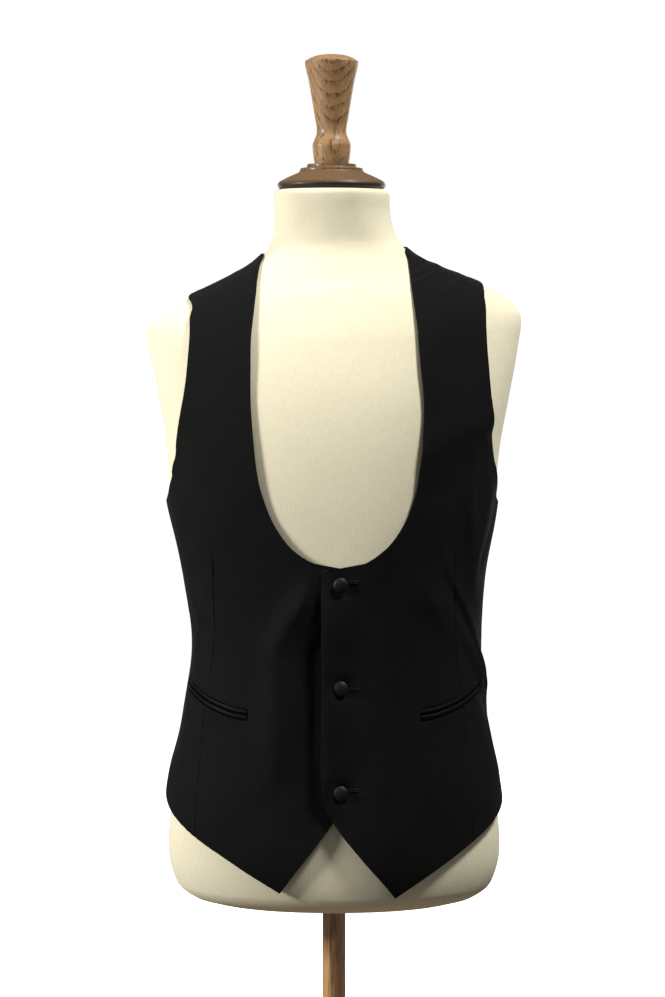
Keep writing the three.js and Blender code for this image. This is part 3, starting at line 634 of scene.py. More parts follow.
def airUnder(angle, z):
    angle, z = np.broadcast_arrays(np.asarray(angle, float), np.asarray(z, float))
    side = np.where(np.cos(angle) < 0, -1, 1)
    forward = np.degrees(np.arctan2(-np.sin(angle), np.abs(np.cos(angle))))
    resting = smoothstep(z, cloth["restFrom"], cloth["restFull"])
    air = cloth["ease"] + (cloth["rest"] - cloth["ease"]) * resting
    for hollow in rowsIn(hollows):
        across = bell(forward - hollow["angle"], hollow["reach"])
        air = air + hollow["rise"] * across * bell(z - hollow["z"], hollow["height"])
    air = air + foldHeights(forward, side, z)
    around = angle * cloth["perRadian"]
    for ripple in rowsIn(ripples):
        wave = 2 * math.pi * (around / ripple["round"] + z / ripple["up"]) + ripple["phase"]
        air = air + ripple["rise"] * np.sin(wave) * (1 - resting)
    floor = cloth["rest"]  # the cloth is never closer: above its floor the air is log(1 + e^(3 air)) / 3
    return floor + np.logaddexp(0, (air - floor) * 3) / 3


def lapLift(angle, z):  # the wearer's left front rises over the edge of the right one
    across = cloth["lapReach"] - bodyPoint(angle, z)[..., 0]
    rising = smoothstep(across, 0, cloth["lapReach"] - cloth["lapFull"])
    return (cloth["frontThickness"] + cloth["lapGap"]) * rising


def frontAir(side, angle, z):
    return airUnder(angle, z) + (lapLift(angle, z) if side > 0 else 0)


def placeSeenAt(x, z, facing):
    # the place on the form whose cloth shows at x and z from the front, found by eight corrections
    x = np.asarray(x, float)
    z = np.asarray(z, float)
    targetZ = z + shoulderRise(x, z)
    guessX = x
    guessZ = z
    for _ in range(8):
        half = sectionAt("halfWidth", guessZ)
        depth = sectionAt("front" if facing < 0 else "back", guessZ)
        n = sectionAt("squareness", guessZ)
        fromMiddle = guessX - sectionAt("sway", guessZ)
        across = np.clip(np.abs(fromMiddle) / half, 0, 0.9995)  # short of the very side
        y = facing * depth * (1 - across**n) ** (1 / n)
        angle = np.arctan2(y, np.sign(fromMiddle) * across * half)
        placeZ = guessZ
        reach = airUnder(angle, placeZ) + cloth["frontThickness"]
        seen = bodyPoint(angle, placeZ) + bodyNormal(angle, placeZ) * reach[..., None]
        guessX = guessX + x - seen[..., 0]
        guessZ = guessZ + targetZ - seen[..., 2]
    return angle, placeZ


# The cut of the fronts and backs, row by row from the hem to the shoulder

none = math.nan
frontRows = tableOf("leftX leftZ rightX rightZ dartX dartZ outerTurn outerX outerZ", [
    (60, 250, -53.5, 255, 138, 300.5, none, none, 343),
    (25.5, 292, -27, 291, 137, 341, none, none, 377),
    (-1.5, 328, 1.5, 329, 134, 384, none, none, 412),
    (-12, 361, 22, 362, 130, 428, none, none, 448),
    (-12, 430, 22, 430, 123, 475, none, none, 490),
    (-12, 500, 22, 500, 120, 540, none, none, 548),
    (-12, 573, 22, 573, 120.5, 592, none, none, 597),
    (22, 577, -11, 577, 121, 606, none, none, 608),
    (50, 594, -39, 592, 122, 620, none, none, 619),
    (69, 619, -59, 618, 123, 636, none, none, 630),
    (80, 648, -71, 648, 123, 652, none, none, 641),
    (84, 671, -76, 671, 122.5, 664, 10, none, 646),
    (87, 698, -79, 698, 122, 682, none, 167, 659),
    (88.5, 734, -82, 734, 120, 718, none, 160, 700),
    (84.5, 785, -82.5, 785, 117, 770, none, 154, 752),
    (79, 842, -79.5, 842, 114, 822, none, 150, 802),
    (77, 870, -78, 870, 113, 848, none, 150, 832),
    (75.5, 889, -76, 889, 112.5, 864, none, 149.5, 850),
    (74.5, 899, -74.5, 899, 112.5, 873.5, 3, none, 863),
    (none, 903, none, 903, none, 877.5, none, none, 865),
])
backRows = tableOf("innerTurn innerZ outerTurn outerX outerZ", [
    (none, 338, none, none, 343),
    (none, 375, none, none, 377),
    (none, 412, none, none, 412),
    (none, 450, none, none, 448),
    (none, 490, none, none, 490),
    (none, 548, none, none, 548),
    (none, 600, none, none, 597),
    (none, 645, none, none, 641),
    (none, 668, 5, none, 646),
    (none, 695, none, 168, 662),
    (none, 745, none, 163, 708),
    (none, 800, none, 159, 762),
    (none, 850, none, 156, 812),
    (none, 890, none, 153, 842),
    (48, 896, none, 150, 855),
    (none, 903, none, none, 865),
])
sideSeam = tableOf("z left right", [(343, 1, 0), (490, 3.5, 0), (597, 5.5, 1), (641, 5.5, 1)])
cut = {
    "edgeCorner": 6,  # the row where the front edge meets the neckline
    "underarm": 10,
    "backNeckCorner": 13,
    "backUnderarm": 7,
    "shoulderSeam": math.radians(6),  # behind the ridge
    "rightHemRise": 4.5,
    "rightHemFull": 290,
    "rightHemGone": 450,
    "armholeShift": 4,
    "armholeFrom": 690,
    "armholeFull": 760,
    "roundLevel": 600,
    "dartShare": 0.5,
}

# Distances round the form at one level, on which the cut's lines are drawn
roundAngles = np.linspace(-math.pi, 2 * math.pi, 1081)  # every half degree
roundLengths = lengthAlong(bodyPoint(roundAngles, cut["roundLevel"]), 0)


def turnedFromSide(side, forward):  # an angle counted forward from the form's side
    return -forward if side > 0 else math.pi + forward


def sideSeamAngle(side, z, ahead):
    degrees = smoothThrough(sideSeam["z"], sideSeam["left" if side > 0 else "right"], z)
    return turnedFromSide(side, np.radians(degrees) + ahead / sectionAt("halfWidth", z))


def shoulderSeamAngle(side, z, ahead):
    return turnedFromSide(side, -cut["shoulderSeam"] + ahead / sectionAt("halfWidth", z))


def hung(side, z):  # the wearer's right front is cut a little higher at its hem
    rise = 0 if side > 0 else cut["rightHemRise"]
    return z + rise * (1 - smoothstep(z, cut["rightHemFull"], cut["rightHemGone"]))


def onCloth(side, angle):  # distances round the form, without a jump at the middle of the back
    angle = np.where((angle < 0) & (side < 0), angle + 2 * math.pi, angle)
    return np.interp(angle, roundAngles, roundLengths)


def outerLine(side, rows, facing):
    # each row ends on the side seam, at a turn from the side, or at a distance seen from the front
    z = rows["outerZ"]
    seamZ = hung(side, z)
    ahead = facing * cloth["seamOverlap"] / 2
    seamAngle = sideSeamAngle(side, seamZ, ahead)
    turnAngle = turnedFromSide(side, -facing * np.radians(rows["outerTurn"]))
    shift = cut["armholeShift"] * smoothstep(z, cut["armholeFrom"], cut["armholeFull"])
    seenAngle, seenZ = placeSeenAt(side * rows["outerX"] + shift, z, facing)
    isTurn = np.isfinite(rows["outerTurn"])
    isSeen = np.isfinite(rows["outerX"])
    angle = np.where(isTurn, turnAngle, np.where(isSeen, seenAngle, seamAngle))
    return angle, np.where(isTurn, z, np.where(isSeen, seenZ, seamZ))


def frontLines(side):
    word = "left" if side > 0 else "right"
    edgeX, edgeZ = frontRows[word + "X"], frontRows[word + "Z"]
    lines = [
        placeSeenAt(edgeX, edgeZ, -1),
        placeSeenAt(side * frontRows["dartX"], hung(side, frontRows["dartZ"]), -1),
        outerLine(side, frontRows, -1),
    ]
    angles = np.stack([line[0] for line in lines], -1)
    heights = np.stack([line[1] for line in lines], -1)
    heights[-1] = edgeZ[-1], frontRows["dartZ"][-1], frontRows["outerZ"][-1]
    angles[-1] = shoulderSeamAngle(side, heights[-1], -cloth["seamOverlap"] / 2)
    return onCloth(side, angles), heights


def backLines(side):
    innerZ = backRows["innerZ"]
    toCentre = math.pi / 2 + cloth["seamOverlap"] / 2 / sectionAt("back", innerZ)
    turned = np.isfinite(backRows["innerTurn"])
    innerTurn = np.where(turned, np.radians(backRows["innerTurn"]), toCentre)
    outerAngle, outerZ = outerLine(side, backRows, 1)
    angles = np.stack([turnedFromSide(side, -innerTurn), outerAngle], -1)
    heights = np.stack([innerZ, outerZ], -1)
    heights[-1] = innerZ[-1], backRows["outerZ"][-1]
    angles[-1] = shoulderSeamAngle(side, heights[-1], cloth["seamOverlap"] / 2)
    return onCloth(side, angles), heights


def alongLine(values, corner, t):  # smooth on each side of the line's corner
    knots = np.arange(len(values))
    below = smoothThrough(knots[: corner + 1], values[: corner + 1], t)
    if corner == len(values) - 1:
        return below
    above = smoothThrough(knots[corner:], values[corner:], t)
    return np.where(t <= corner, below, above)


def linesAt(lines, corners, t):
    rounds, heights = lines
    columns = range(len(corners))
    return (
        np.stack([alongLine(rounds[:, k], corners[k], t) for k in columns], -1),
        np.stack([alongLine(heights[:, k], corners[k], t) for k in columns], -1),
    )


def rowsOf(lines, corners, step, near):
    # where a panel's mesh has its rows: a step apart on the longest line, closer by both ends
    t = np.linspace(0, len(lines[0]) - 1, 3000)
    rounds, heights = linesAt(lines, corners, t)
    steps = np.hypot(np.diff(rounds, axis=0), np.diff(heights, axis=0)).max(1)
    length = np.concatenate([[0], np.cumsum(steps)])
    count = int(length[-1] / step)
    return np.interp(crowded(length[-1], count, near, near), length, t)


edges = {
    "near": (0, 0.12, 0.35, 0.65, 1.0, 1.6, 2.6),  # where the rolled edge has its points
    "dartNear": (0, 0.4, 0.8, 1.3, 2.0, 3.0, 4.4),
    "allowance": (7, 12),  # the turned-in cloth ends this far in from the edges
    "allowanceRise": 0.22,
    "stitchIn": 2.0,
    "stitchDepth": 0.16,
    "stitchWidth": 0.8,
}


def rolled(distance, radius):  # a quarter circle from the edge in
    share = np.clip(distance / radius, 0, 1)
    return np.sqrt(np.maximum(1 - (1 - share) ** 2, 0))


def columnsOf(lines, corners, t, counts):
    # shares across each row, crowded by the edges and, on a front, by the dart
    rounds, heights = linesAt(lines, corners, t)
    widths = np.hypot(np.diff(rounds, axis=1), np.diff(heights, axis=1))
    near, dartNear = edges["near"], edges["dartNear"]
    if len(corners) == 2:
        return crowded(widths[:, 0], counts[0], near, near) / widths
    inner = crowded(widths[:, 0], counts[0], near, dartNear) / widths[:, :1]
    outer = crowded(widths[:, 1], counts[1], dartNear, near) / widths[:, 1:]
    half = cut["dartShare"]
    return np.concatenate([inner * half, half + outer[:, 1:] * (1 - half)], 1)


def panelGrid(side, lines, corners, shares, step, counts, thickness, airOf):
    # a grid over a panel's middle layer, with the distances in millimetres from its four edges
    t = rowsOf(lines, corners, step, edges["near"])
    u = columnsOf(lines, corners, t, counts)
    rounds, heights = linesAt(lines, corners, t)
    around = smoothThrough(shares, rounds, u)
    z = smoothThrough(shares, heights, u)
    angle = np.interp(around, roundLengths, roundAngles)
    normal = bodyNormal(angle, z)
    base = bodyPoint(angle, z) + normal * (airOf(angle, z) + thickness / 2)[..., None]
    fromInner = lengthAlong(base, 1)
    fromHem = lengthAlong(base, 0)
    return {
        "side": side,
        "z": z,
        "flat": np.stack([around, z], -1),
        "normal": normal,
        "base": base,
        "thickness": thickness,
        "fromInner": fromInner,
        "fromOuter": fromInner[:, -1:] - fromInner,
        "fromHem": fromHem,
        "fromShoulder": fromHem[-1:] - fromHem,
        "dartColumn": len(edges["near"]) - 1 + counts[0] + len(edges["dartNear"]) - 2,
    }


def wallMesh(name, panel, outerLift, bothLift, material):
    # two skins on one grid that meet on its boundary, each rolled over the thickness at the edges
    half = panel["thickness"] / 2
    roll = np.ones(panel["z"].shape)
    for edge in ("fromInner", "fromOuter", "fromHem", "fromShoulder"):
        roll = roll * rolled(panel[edge], half)
    base = panel["base"] + panel["normal"] * bothLift[..., None]
    outer = base + panel["normal"] * (half * roll + outerLift * roll)[..., None]
    inner = base - panel["normal"] * (half * roll)[..., None]
    points, faces, uv = twoSkins(outer, inner, panel["flat"])
    panel["outer"] = outer
    return makeMesh(name, points, faces, material, uv)


pocket = {
    "width": 4.2,
    "gap": 1.4,
    "sunk": 0.8,  # the front dips under its jets
    "sunkFade": 3,
    "sunkPast": 2,
    "mouth": 0.6,
    "mouthWidth": 1.4,
    "seat": -1.2,
    "thickness": 1.9,
    "slant": 1.15,  # the mouth's length, as a share of its width
    "rows": 90,
    "columns": 15,
    "near": (0, 0.004, 0.01, 0.02),
    "end": 1.0,
    "tackRadius": 0.55,
    "tackPast": 0.3,
    "tackLift": 0.2,
    "seamShadeRadii": (1.0, 0.75, 0.5),  # near-black tubes that paint the shade in the ditches: under the lower jet, between the jets, over the upper one
    "seamShadePast": (-0.35, 0, 0.2),
    "seamShadeLift": 0.1,
}
pocketReach = pocket["width"] + pocket["gap"] / 2
pocketLine = tableOf(
    "x z",
    [(86, 430), (101, 432), (116, 436.5), (128.5, 441.5), (140, 448.5), (148, 454.5)],
)
pocketEnds = pocketLine["x"][[0, -1]]
buttons = {
    "names": ("button_bottom", "button_middle", "button_top"),
    "heights": (355.5, 457.5, 559.5),
    "x": 6.5,
    "dimple": 1.2,
    "dimpleWidth": 9.5,
    "sides": 64,
}
front = {
    "step": 2.25,
    "counts": (56, 42),
    "dartTop": 592,
    "dartEnd": (-10, 3),  # its groove comes in over this much at its top
    "dartDepth": 1.2,
    "dartWidth": 0.7,
    "dartFade": 0.45,  # the dart's groove is this much shallower at the hem
    "dartFull": (440, 560),
    "pucker": (0.25, 1.9, 1.3, 11),  # share, length, and the slower wave that unsettles it
    "lip": (0.2, 3, 2.2),  # rise, distance from the dart, width
    "gape": 7.5,  # how far the left front's edge stands away, less by each button
    "gapeReach": 20,
    "gapeHeld": 0.36,
    "gapeHeldWidth": 12,
    "gapeEnds": (318, 372, 512, 574),
    "valley": 2.8,  # the right front swells, then sinks beside the overlap
    "swell": 8.8,
    "swellWidth": 17,
    "crestFrom": -10,  # the swell's crest bows away from the overlap between its ends
    "crestBow": 47,
    "crestEnds": (285, 365, 480, 590),
    "flank": 37,
    "flankPower": 1.08,
    "valleyEnds": (262, 322, 535, 588),
    "swellEnds": (300, 425, 535, 588),
    "lowValley": 1.0,  # the valley's extra depth where the swell has gone
    "under": (-34, -14),  # under the left front it only sinks
    "underEnds": (296, 322),
}


def mouthAt(x):
    return smoothThrough(pocketLine["x"], pocketLine["z"], x)


def frontRelief(panel):
    # on the outside alone: the dart's groove with its lips, the turned-in edges, the stitched line
    # and the seat of the pocket
    side, z = panel["side"], panel["z"]
    column = panel["dartColumn"]
    fromDart = panel["fromInner"] - panel["fromInner"][:, column : column + 1]
    topFrom, topTo = front["dartEnd"]
    sewn = 1 - smoothstep(z, front["dartTop"] + topFrom, front["dartTop"] + topTo)
    share, length, unsettled, slower = front["pucker"]
    along = panel["fromHem"]
    pucker = 1 + share * np.sin(along / length + unsettled * np.sin(along / slower))
    deep = front["dartDepth"] * (1 - front["dartFade"] * (1 - smoothstep(z, *front["dartFull"])))
    relief = -deep * sewn * pucker * bell(fromDart, front["dartWidth"])
    lipRise, lipAway, lipWidth = front["lip"]
    relief += lipRise * sewn * bell(np.abs(fromDart) - lipAway, lipWidth)
    nearest = np.minimum(np.minimum(panel["fromInner"], panel["fromHem"]), panel["fromOuter"])
    relief += edges["allowanceRise"] * (1 - smoothstep(nearest, *edges["allowance"]))
    relief -= edges["stitchDepth"] * bell(panel["fromInner"] - edges["stitchIn"], edges["stitchWidth"])
    inX = np.abs(panel["base"][..., 0])
    fromMouth = np.abs(z - hung(side, mouthAt(inX)) + shoulderRise(inX, z))
    low, high = pocketEnds
    inPocket = between(inX, low - pocket["sunkPast"], low, high, high + pocket["sunkPast"])
    seat = 1 - smoothstep(fromMouth, pocket["width"], pocket["width"] + pocket["sunkFade"])
    relief -= inPocket * (pocket["sunk"] * seat + pocket["mouth"] * bell(fromMouth, pocket["mouthWidth"]))
    return relief


def leftShape(panel):
    # the buttons press dimples on the outside, and the edge gapes between them
    x, z = panel["base"][..., 0], panel["base"][..., 2]
    dimples = np.zeros(z.shape)
    held = np.zeros(z.shape)
    for height in buttons["heights"]:
        away = np.hypot(x - buttons["x"], z - height)
        dimples += buttons["dimple"] * bell(away, buttons["dimpleWidth"])
        held += front["gapeHeld"] * bell(away, front["gapeHeldWidth"])
    loose = bell(panel["fromInner"], front["gapeReach"]) - held
    return dimples, front["gape"] * between(panel["z"], *front["gapeEnds"]) * loose


def rightShape(panel):
    # a swell whose crest bows away from the overlap, and a valley from the crest to the overlap
    x, z = panel["base"][..., 0], panel["z"]
    past = x - front["crestFrom"] + front["crestBow"] * between(z, *front["crestEnds"])
    swell = front["swell"] * between(z, *front["swellEnds"])
    low = front["lowValley"] * (1 - smoothstep(z, *front["swellEnds"][:2]))
    rising = swell * bell(np.minimum(past, 0), front["swellWidth"])
    down = np.clip(past / front["flank"], 0, 1) ** front["flankPower"]
    sinking = (swell + low + front["valley"]) * down
    lift = rising - sinking * between(z, *front["valleyEnds"])
    under = smoothstep(x, *front["under"]) * smoothstep(z, *front["underEnds"])
    return lift * (1 - under) + np.minimum(lift, 0) * under


def standsFor(piece, node):  # the piece rides on the one body, in the place of its solid
    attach(piece, "root")
    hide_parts(node)


frontPanels = {}
for side, name in ((1, "front_left"), (-1, "front_right")):
    panel = panelGrid(
        side,
        frontLines(side),
        (cut["edgeCorner"], len(frontRows["dartZ"]) - 1, cut["underarm"]),
        (0, cut["dartShare"], 1),
        front["step"],
        front["counts"],
        cloth["frontThickness"],
        lambda angle, z: frontAir(side, angle, z),
    )
    relief = frontRelief(panel)
    if side > 0:
        dimples, shape = leftShape(panel)
        relief -= dimples
    else:
        shape = rightShape(panel)
    panel["piece"] = wallMesh("waistcoat_" + name, panel, relief, shape, wool)
    standsFor(panel["piece"], name)
    frontPanels[side] = panel
    print("front made", name)

back = {
    "step": 2.6,
    "counts": (88,),
    "hemRise": 0.2,
    "hem": (5, 9),
}
for side, name in ((1, "back_left"), (-1, "back_right")):
    panel = panelGrid(
        side,
        backLines(side),
        (cut["backNeckCorner"], cut["backUnderarm"]),
        (0, 1),
        back["step"],
        back["counts"],
        cloth["backThickness"],
        airUnder,
    )
    nearest = np.minimum(panel["fromHem"], panel["fromInner"])
    turnedIn = back["hemRise"] * (1 - smoothstep(nearest, *back["hem"]))
    piece = wallMesh("waistcoat_" + name, panel, turnedIn, np.zeros(turnedIn.shape), satin)
    standsFor(piece, name)
    print("back made", name)

# Pockets: two satin jets on each front


def onFront(side, x, z, height):
    # a point over the front's outside, with the direction out
    angle, placeZ = placeSeenAt(x, z, -1)
    normal = bodyNormal(angle, placeZ)
    reach = frontAir(side, angle, placeZ) + cloth["frontThickness"] + height
    return bodyPoint(angle, placeZ) + normal * reach[..., None], normal


def jetMesh(name, side, upward):
    # a strip along the mouth, in section (1 - (2c - 1)^4)^0.8 high, and rolled over at its two ends
    share = crowded(1.0, pocket["rows"], pocket["near"], pocket["near"])
    x = pocketEnds[0] + np.ptp(pocketEnds) * share
    mouth, out = onFront(side, side * x, mouthAt(x), 0)
    along = unit(np.gradient(mouth, axis=0))
    up = unit(np.cross(out, along)) * side * upward
    c = (1 - np.cos(np.linspace(0, math.pi, pocket["columns"]))) / 2
    reach = pocket["gap"] / 2 + c * pocket["width"]
    strip = mouth[:, None] + up[:, None] * reach[:, None]
    crown = (1 - (2 * c - 1) ** 4) ** 0.8
    length = np.ptp(x) * pocket["slant"]
    ends = rolled(share * length, pocket["end"]) * rolled((1 - share) * length, pocket["end"])
    top = pocket["seat"] + pocket["thickness"] * crown * ends[:, None]
    low = np.full(top.shape, pocket["seat"])
    outer, _ = onFront(side, strip[..., 0], strip[..., 2], top)
    inner, _ = onFront(side, strip[..., 0], strip[..., 2], low)
    run = lengthAlong(mouth, 0)
    flat = np.stack(np.broadcast_arrays(reach[None, :] * upward, run[:, None]), -1)
    points, faces, uv = twoSkins(outer, inner, flat)
    return makeMesh(name, points, faces, jetSatin, uv)


onFronts = {1: [], -1: []}
for side, word in ((1, "left"), (-1, "right")):
    for upward, level in ((1, "upper"), (-1, "lower")):
        node = f"pocket_{word}_{level}_jet"
        piece = jetMesh("satin_" + node, side, upward)
        standsFor(piece, node)
        onFronts[side].append(piece)
print("pockets made")

# Turned shapes: a profile carried round an axis


def bentProfile(rows, steps=5):
    # the outline through radius and height, its corners cut by parabolas that start "bend" before them
    points = np.array([row[:2] for row in rows], float)
    bends = [row[2] for row in rows]
    lengths = np.linalg.norm(np.diff(points, axis=0), axis=1)
    out = [points[:1]]
    s = np.linspace(0, 1, steps)[:, None]
    for i in range(1, len(points) - 1):
        reach = min(bends[i], lengths[i - 1] / 2, lengths[i] / 2)
        a = points[i] + (points[i - 1] - points[i]) * reach / lengths[i - 1]
        b = points[i] + (points[i + 1] - points[i]) * reach / lengths[i]
        out.append((1 - s) ** 2 * a + 2 * s * (1 - s) * points[i] + s**2 * b)
    joined = np.concatenate(out + [points[-1:]])
    keep = np.concatenate([[True], np.linalg.norm(np.diff(joined, axis=0), axis=1) > 1e-4])
    return joined[keep]


def ringsMesh(name, points, sides, material, uv=None):
    # rings of points from the low end up, then the two ends' middles, each joined to its ring by a fan
    last = len(points) - 2
    index = np.arange(last).reshape(-1, sides)
    wrapped = np.concatenate([index, index[:, :1]], 1)
    low = np.stack([np.full(sides, last), wrapped[0, 1:], wrapped[0, :-1]], -1)
    high = np.stack([np.full(sides, last + 1), wrapped[-1, :-1], wrapped[-1, 1:]], -1)
    return makeMesh(name, points, [gridQuads(wrapped), low, high], material, uv)


def turnedMesh(name, profile, sides, place, material, isCloth=False):
    # x = r cos, y = r sin, z = height, then moved by place; the first and last points lie on the axis
    angle = np.linspace(0, 2 * math.pi, sides, endpoint=False)
    r = profile[1:-1, :1]
    rings = np.stack([r * np.cos(angle), r * np.sin(angle), profile[1:-1, 1:] + 0 * angle], -1)
    ends = [[0, 0, profile[0, 1]], [0, 0, profile[-1, 1]]]
    points = np.concatenate([rings.reshape(-1, 3), ends])
    return ringsMesh(name, place(points), sides, material, points[:, :2] if isCloth else None)


smooth = 99  # a bend as long as its neighbours allow
capProfile = [
    (0, 0, 0),
    (53.4, 0, 0.5),
    (56.1, 3.2, 1.0),
    (56.5, 5.0, 0.8),
    (55.6, 7, 0.6),
    (53.6, 9, 0.8),
    (45, 13.4, smooth),
    (34.6, 17.8, 0.5),
    (33, 19.4, 0.5),
    (33, 21.6, 0.5),
    (31.5, 22.4, 0.4),
    (26.2, 22.9, 0.3),
    (25.7, 24, 0.4),
    (25.7, 26.4, 0.5),
    (0, 26.4, 0),
]
knobProfile = [
    (0, 0, 0),
    (17.7, 0, 0.5),
    (19.0, 6, smooth),
    (19.9, 14, smooth),
    (20.1, 19.5, 1.4),
    (18.1, 24.5, 1.6),
    (15.9, 29, 3),
    (15.3, 33.5, smooth),
    (15.9, 40, smooth),
    (17.3, 46, smooth),
    (20.3, 64.5, smooth),
    (23.4, 83, smooth),
    (27.0, 98, smooth),
    (27.9, 104.2, 1.3),
    (20, 109, smooth),
    (10, 111.1, smooth),
    (0, 111.5, 0),
]
seamGap = 0.3


def neckPlace(rise):  # leaning forward with the neck's top
    cos, sin = math.cos(body["neckPitch"]), math.sin(body["neckPitch"])
    sway = sectionAt("sway", body["neckTop"])

    def place(points):
        x, y, z = points[:, 0], points[:, 1], points[:, 2] + rise
        return np.stack([x + sway, y * cos - z * sin, y * sin + z * cos + body["neckTop"]], -1)

    return place


def upright(points):
    return points


poleProfile = [(0, 28.3, 0), (12, 28.3, 0.5), (12, 229.7, 0.5), (0, 229.7, 0)]
footProfile = [
    (0, 0, 0),
    (163, 0, 1.0),
    (165, 2, 1.0),
    (165, 11, 3.0),
    (162.5, 15, 1.2),
    (155, 17.5, 1.5),
    (151, 21, 2.0),
    (141, 24.5, 6.0),
    (46, 25, 1.5),
    (40, 28, 1.5),
    (0, 28, 0),
]
neckAxis = (0, -math.sin(body["neckPitch"]), math.cos(body["neckPitch"]))
rimTop = body["neckTop"] * neckAxis[2] + capProfile[5][1]  # the outer rim ends at this point
capRimShade = {"depth": 0.004, "full": 0.9}  # metres, and the painted shade's share at its lower end
# painted shade on the neck cap: its rim darkens towards its lower edge, below the outer rim's end, for the
# shade under it
paintShadeBelow(capWood, neckAxis, rimTop * millimetre, **capRimShade)
for node, profile, sides, place, material in (
    ("neck_cap", capProfile, 128, neckPlace(seamGap), capWood),
    ("knob", knobProfile, 96, neckPlace(2 * seamGap + capProfile[-1][1]), turnedWood),
    ("pole", poleProfile, 64, upright, poleWood),
    ("foot", footProfile, 160, upright, footWood),
):
    piece = turnedMesh("wood_" + node, bentProfile(profile), sides, place, material)
    standsFor(piece, node)
print("wood made")

# The torso under its jersey

torso = {"rise": 4, "sides": 240}


def torsoMesh():  # the body's own points at each height, closed at both ends
    heights = np.arange(body["bottom"] + 1, body["neckTop"], torso["rise"])
    heights = np.union1d(heights, bodySections["z"])
    angle = np.linspace(-math.pi, math.pi, torso["sides"] + 1)[:-1]
    rings = bodyPoint(angle[None, :], heights[:, None])
    points = np.concatenate([rings.reshape(-1, 3), rings[:1].mean(1), rings[-1:].mean(1)])
    around = np.interp(angle, roundAngles, roundLengths)
    flat = np.stack(np.broadcast_arrays(around[None, :], heights[:, None]), -1).reshape(-1, 2)
    uv = np.concatenate([flat, np.zeros((2, 2))])
    return ringsMesh("jersey_torso", points, torso["sides"], jersey, uv)


standsFor(torsoMesh(), "form_torso")
print("torso made")

# Buttons: cloth drawn over a dome

domeProfile = [
    (0, 0, 0),
    (2.4, 0, 0.2),
    (2.4, 1.5, 0.3),
    (6.2, 1.7, 0.4),
    (7.2, 2.2, smooth),
    (7.5, 2.6, smooth),
    (6.9, 3.4, smooth),
    (5.4, 4.35, smooth),
    (3.0, 5.1, smooth),
    (0, 5.4, 0),
]


def buttonPlace(height):  # on the left front, with the dome's axis straight out of the cloth
    point, out = onFront(1, np.array(buttons["x"]), np.array(height), seamGap)
    right = unit(np.cross(np.array([0, 0, 1.0]), out))
    up = np.cross(out, right)

    def place(points):
        return point + points[:, :1] * right + points[:, 1:2] * up + points[:, 2:] * out

    return place


dome = bentProfile(domeProfile)
for name, height in zip(buttons["names"], buttons["heights"]):
    place = buttonPlace(height)
    piece = turnedMesh("covered_" + name, dome, buttons["sides"], place, coveredCloth, isCloth=True)
    standsFor(piece, name)
    onFronts[1].append(piece)
print("buttons made")

# Sewing: threads as thin tubes that lie on the fronts; the pocket seams and tacks are near black, and paint
# the shade in the ditches round the jets

sewing = {
    "radius": 0.17,
    "sides": 6,
    "spacing": 4.6,
    "length": 1.4,
    "uneven": ((0.35, 1.7), (0.2, 0.37)),  # a hand's: sizes and rates
    "rings": np.array([-0.5, -0.36, -0.12, 0.12, 0.36, 0.5]),  # shares of a stitch
    "ringRadii": np.array([0.7, 1, 1, 1, 1, 0.7]),
    "proud": 0.4,  # a stitch's middle stands out this much, and its ends sink
    "sinking": 8,
    "holeHeights": (358.0, 456.8, 561.8),
    "holeFrom": 9.0,  # the buttonholes run from under the buttons to their bar tacks
    "holeTo": 23.3,
    "lip": 0.62,
    "lipApart": 0.85,
    "lipLift": 0.12,
    "lipWave": 0.05,
    "wind": 0.62,
    "windDepth": 0.14,
    "tack": 1.9,
    "tackRadius": 0.5,
    "tackPast": 0.2,
    "tackLift": 0.3,
    "woundSides": 8,
    "seamShadeSides": 10,
}


def tubesMesh(name, paths, ups, radii, sides, material):
    # paths is (tubes, rings, 3), ups points out of the cloth, and radii has one size a ring
    tangent = unit(np.gradient(paths, axis=1))
    right = unit(np.cross(tangent, ups))
    above = np.cross(right, tangent)
    turn = np.linspace(0, 2 * math.pi, sides, endpoint=False)
    cos, sin = np.cos(turn)[:, None], np.sin(turn)[:, None]
    ring = cos * right[:, :, None] + sin * above[:, :, None]
    points = paths[:, :, None] + ring * radii[:, :, None, None]
    count, rings = paths.shape[:2]
    index = np.arange(count * rings * sides).reshape(count, rings, sides)
    around = np.concatenate([index, index[..., :1]], -1)
    a, b = around[:, :-1, :-1], around[:, :-1, 1:]
    c, d = around[:, 1:, 1:], around[:, 1:, :-1]
    walls = np.stack([a, b, c, d], -1).reshape(-1, 4)
    return makeMesh(name, points.reshape(-1, 3), [walls, index[:, 0, ::-1], index[:, -1]], material)


def treeOf(mesh):  # for rays; all the mesh's faces have four corners
    corners = np.zeros(3 * len(mesh.vertices), np.float32)
    mesh.vertices.foreach_get("co", corners)
    quads = np.zeros(len(mesh.loops), np.int32)
    mesh.loops.foreach_get("vertex_index", quads)
    return BVHTree.FromPolygons(corners.reshape(-1, 3).tolist(), quads.reshape(-1, 4).tolist())


def threadsOn(name, tree, x, z, lift, radii, sides, material):
    # tubes that lie lift above the cloth, where rays from the front meet it at each tube's x and z
    x, z = np.broadcast_arrays(x, z)
    found = np.zeros(x.shape + (3,))
    for place in np.ndindex(x.shape):
        start = (x[place] * millimetre, -1.0, z[place] * millimetre)
        hit = tree.ray_cast(start, (0, 1, 0))[0]
        found[place] = hit if hit is not None else start
    up = bodyNormal(*placeSeenAt(x, z, -1))
    radii = np.broadcast_to(radii, x.shape)
    return tubesMesh(name, found / millimetre + up * lift, up, radii, sides, material)


def tapered(count, reach, power=2, root=0.25):
    # a thread's radius along it: (1 - s^power)^root, for s from -reach to reach
    return (1 - np.linspace(-reach, reach, count) ** power) ** root


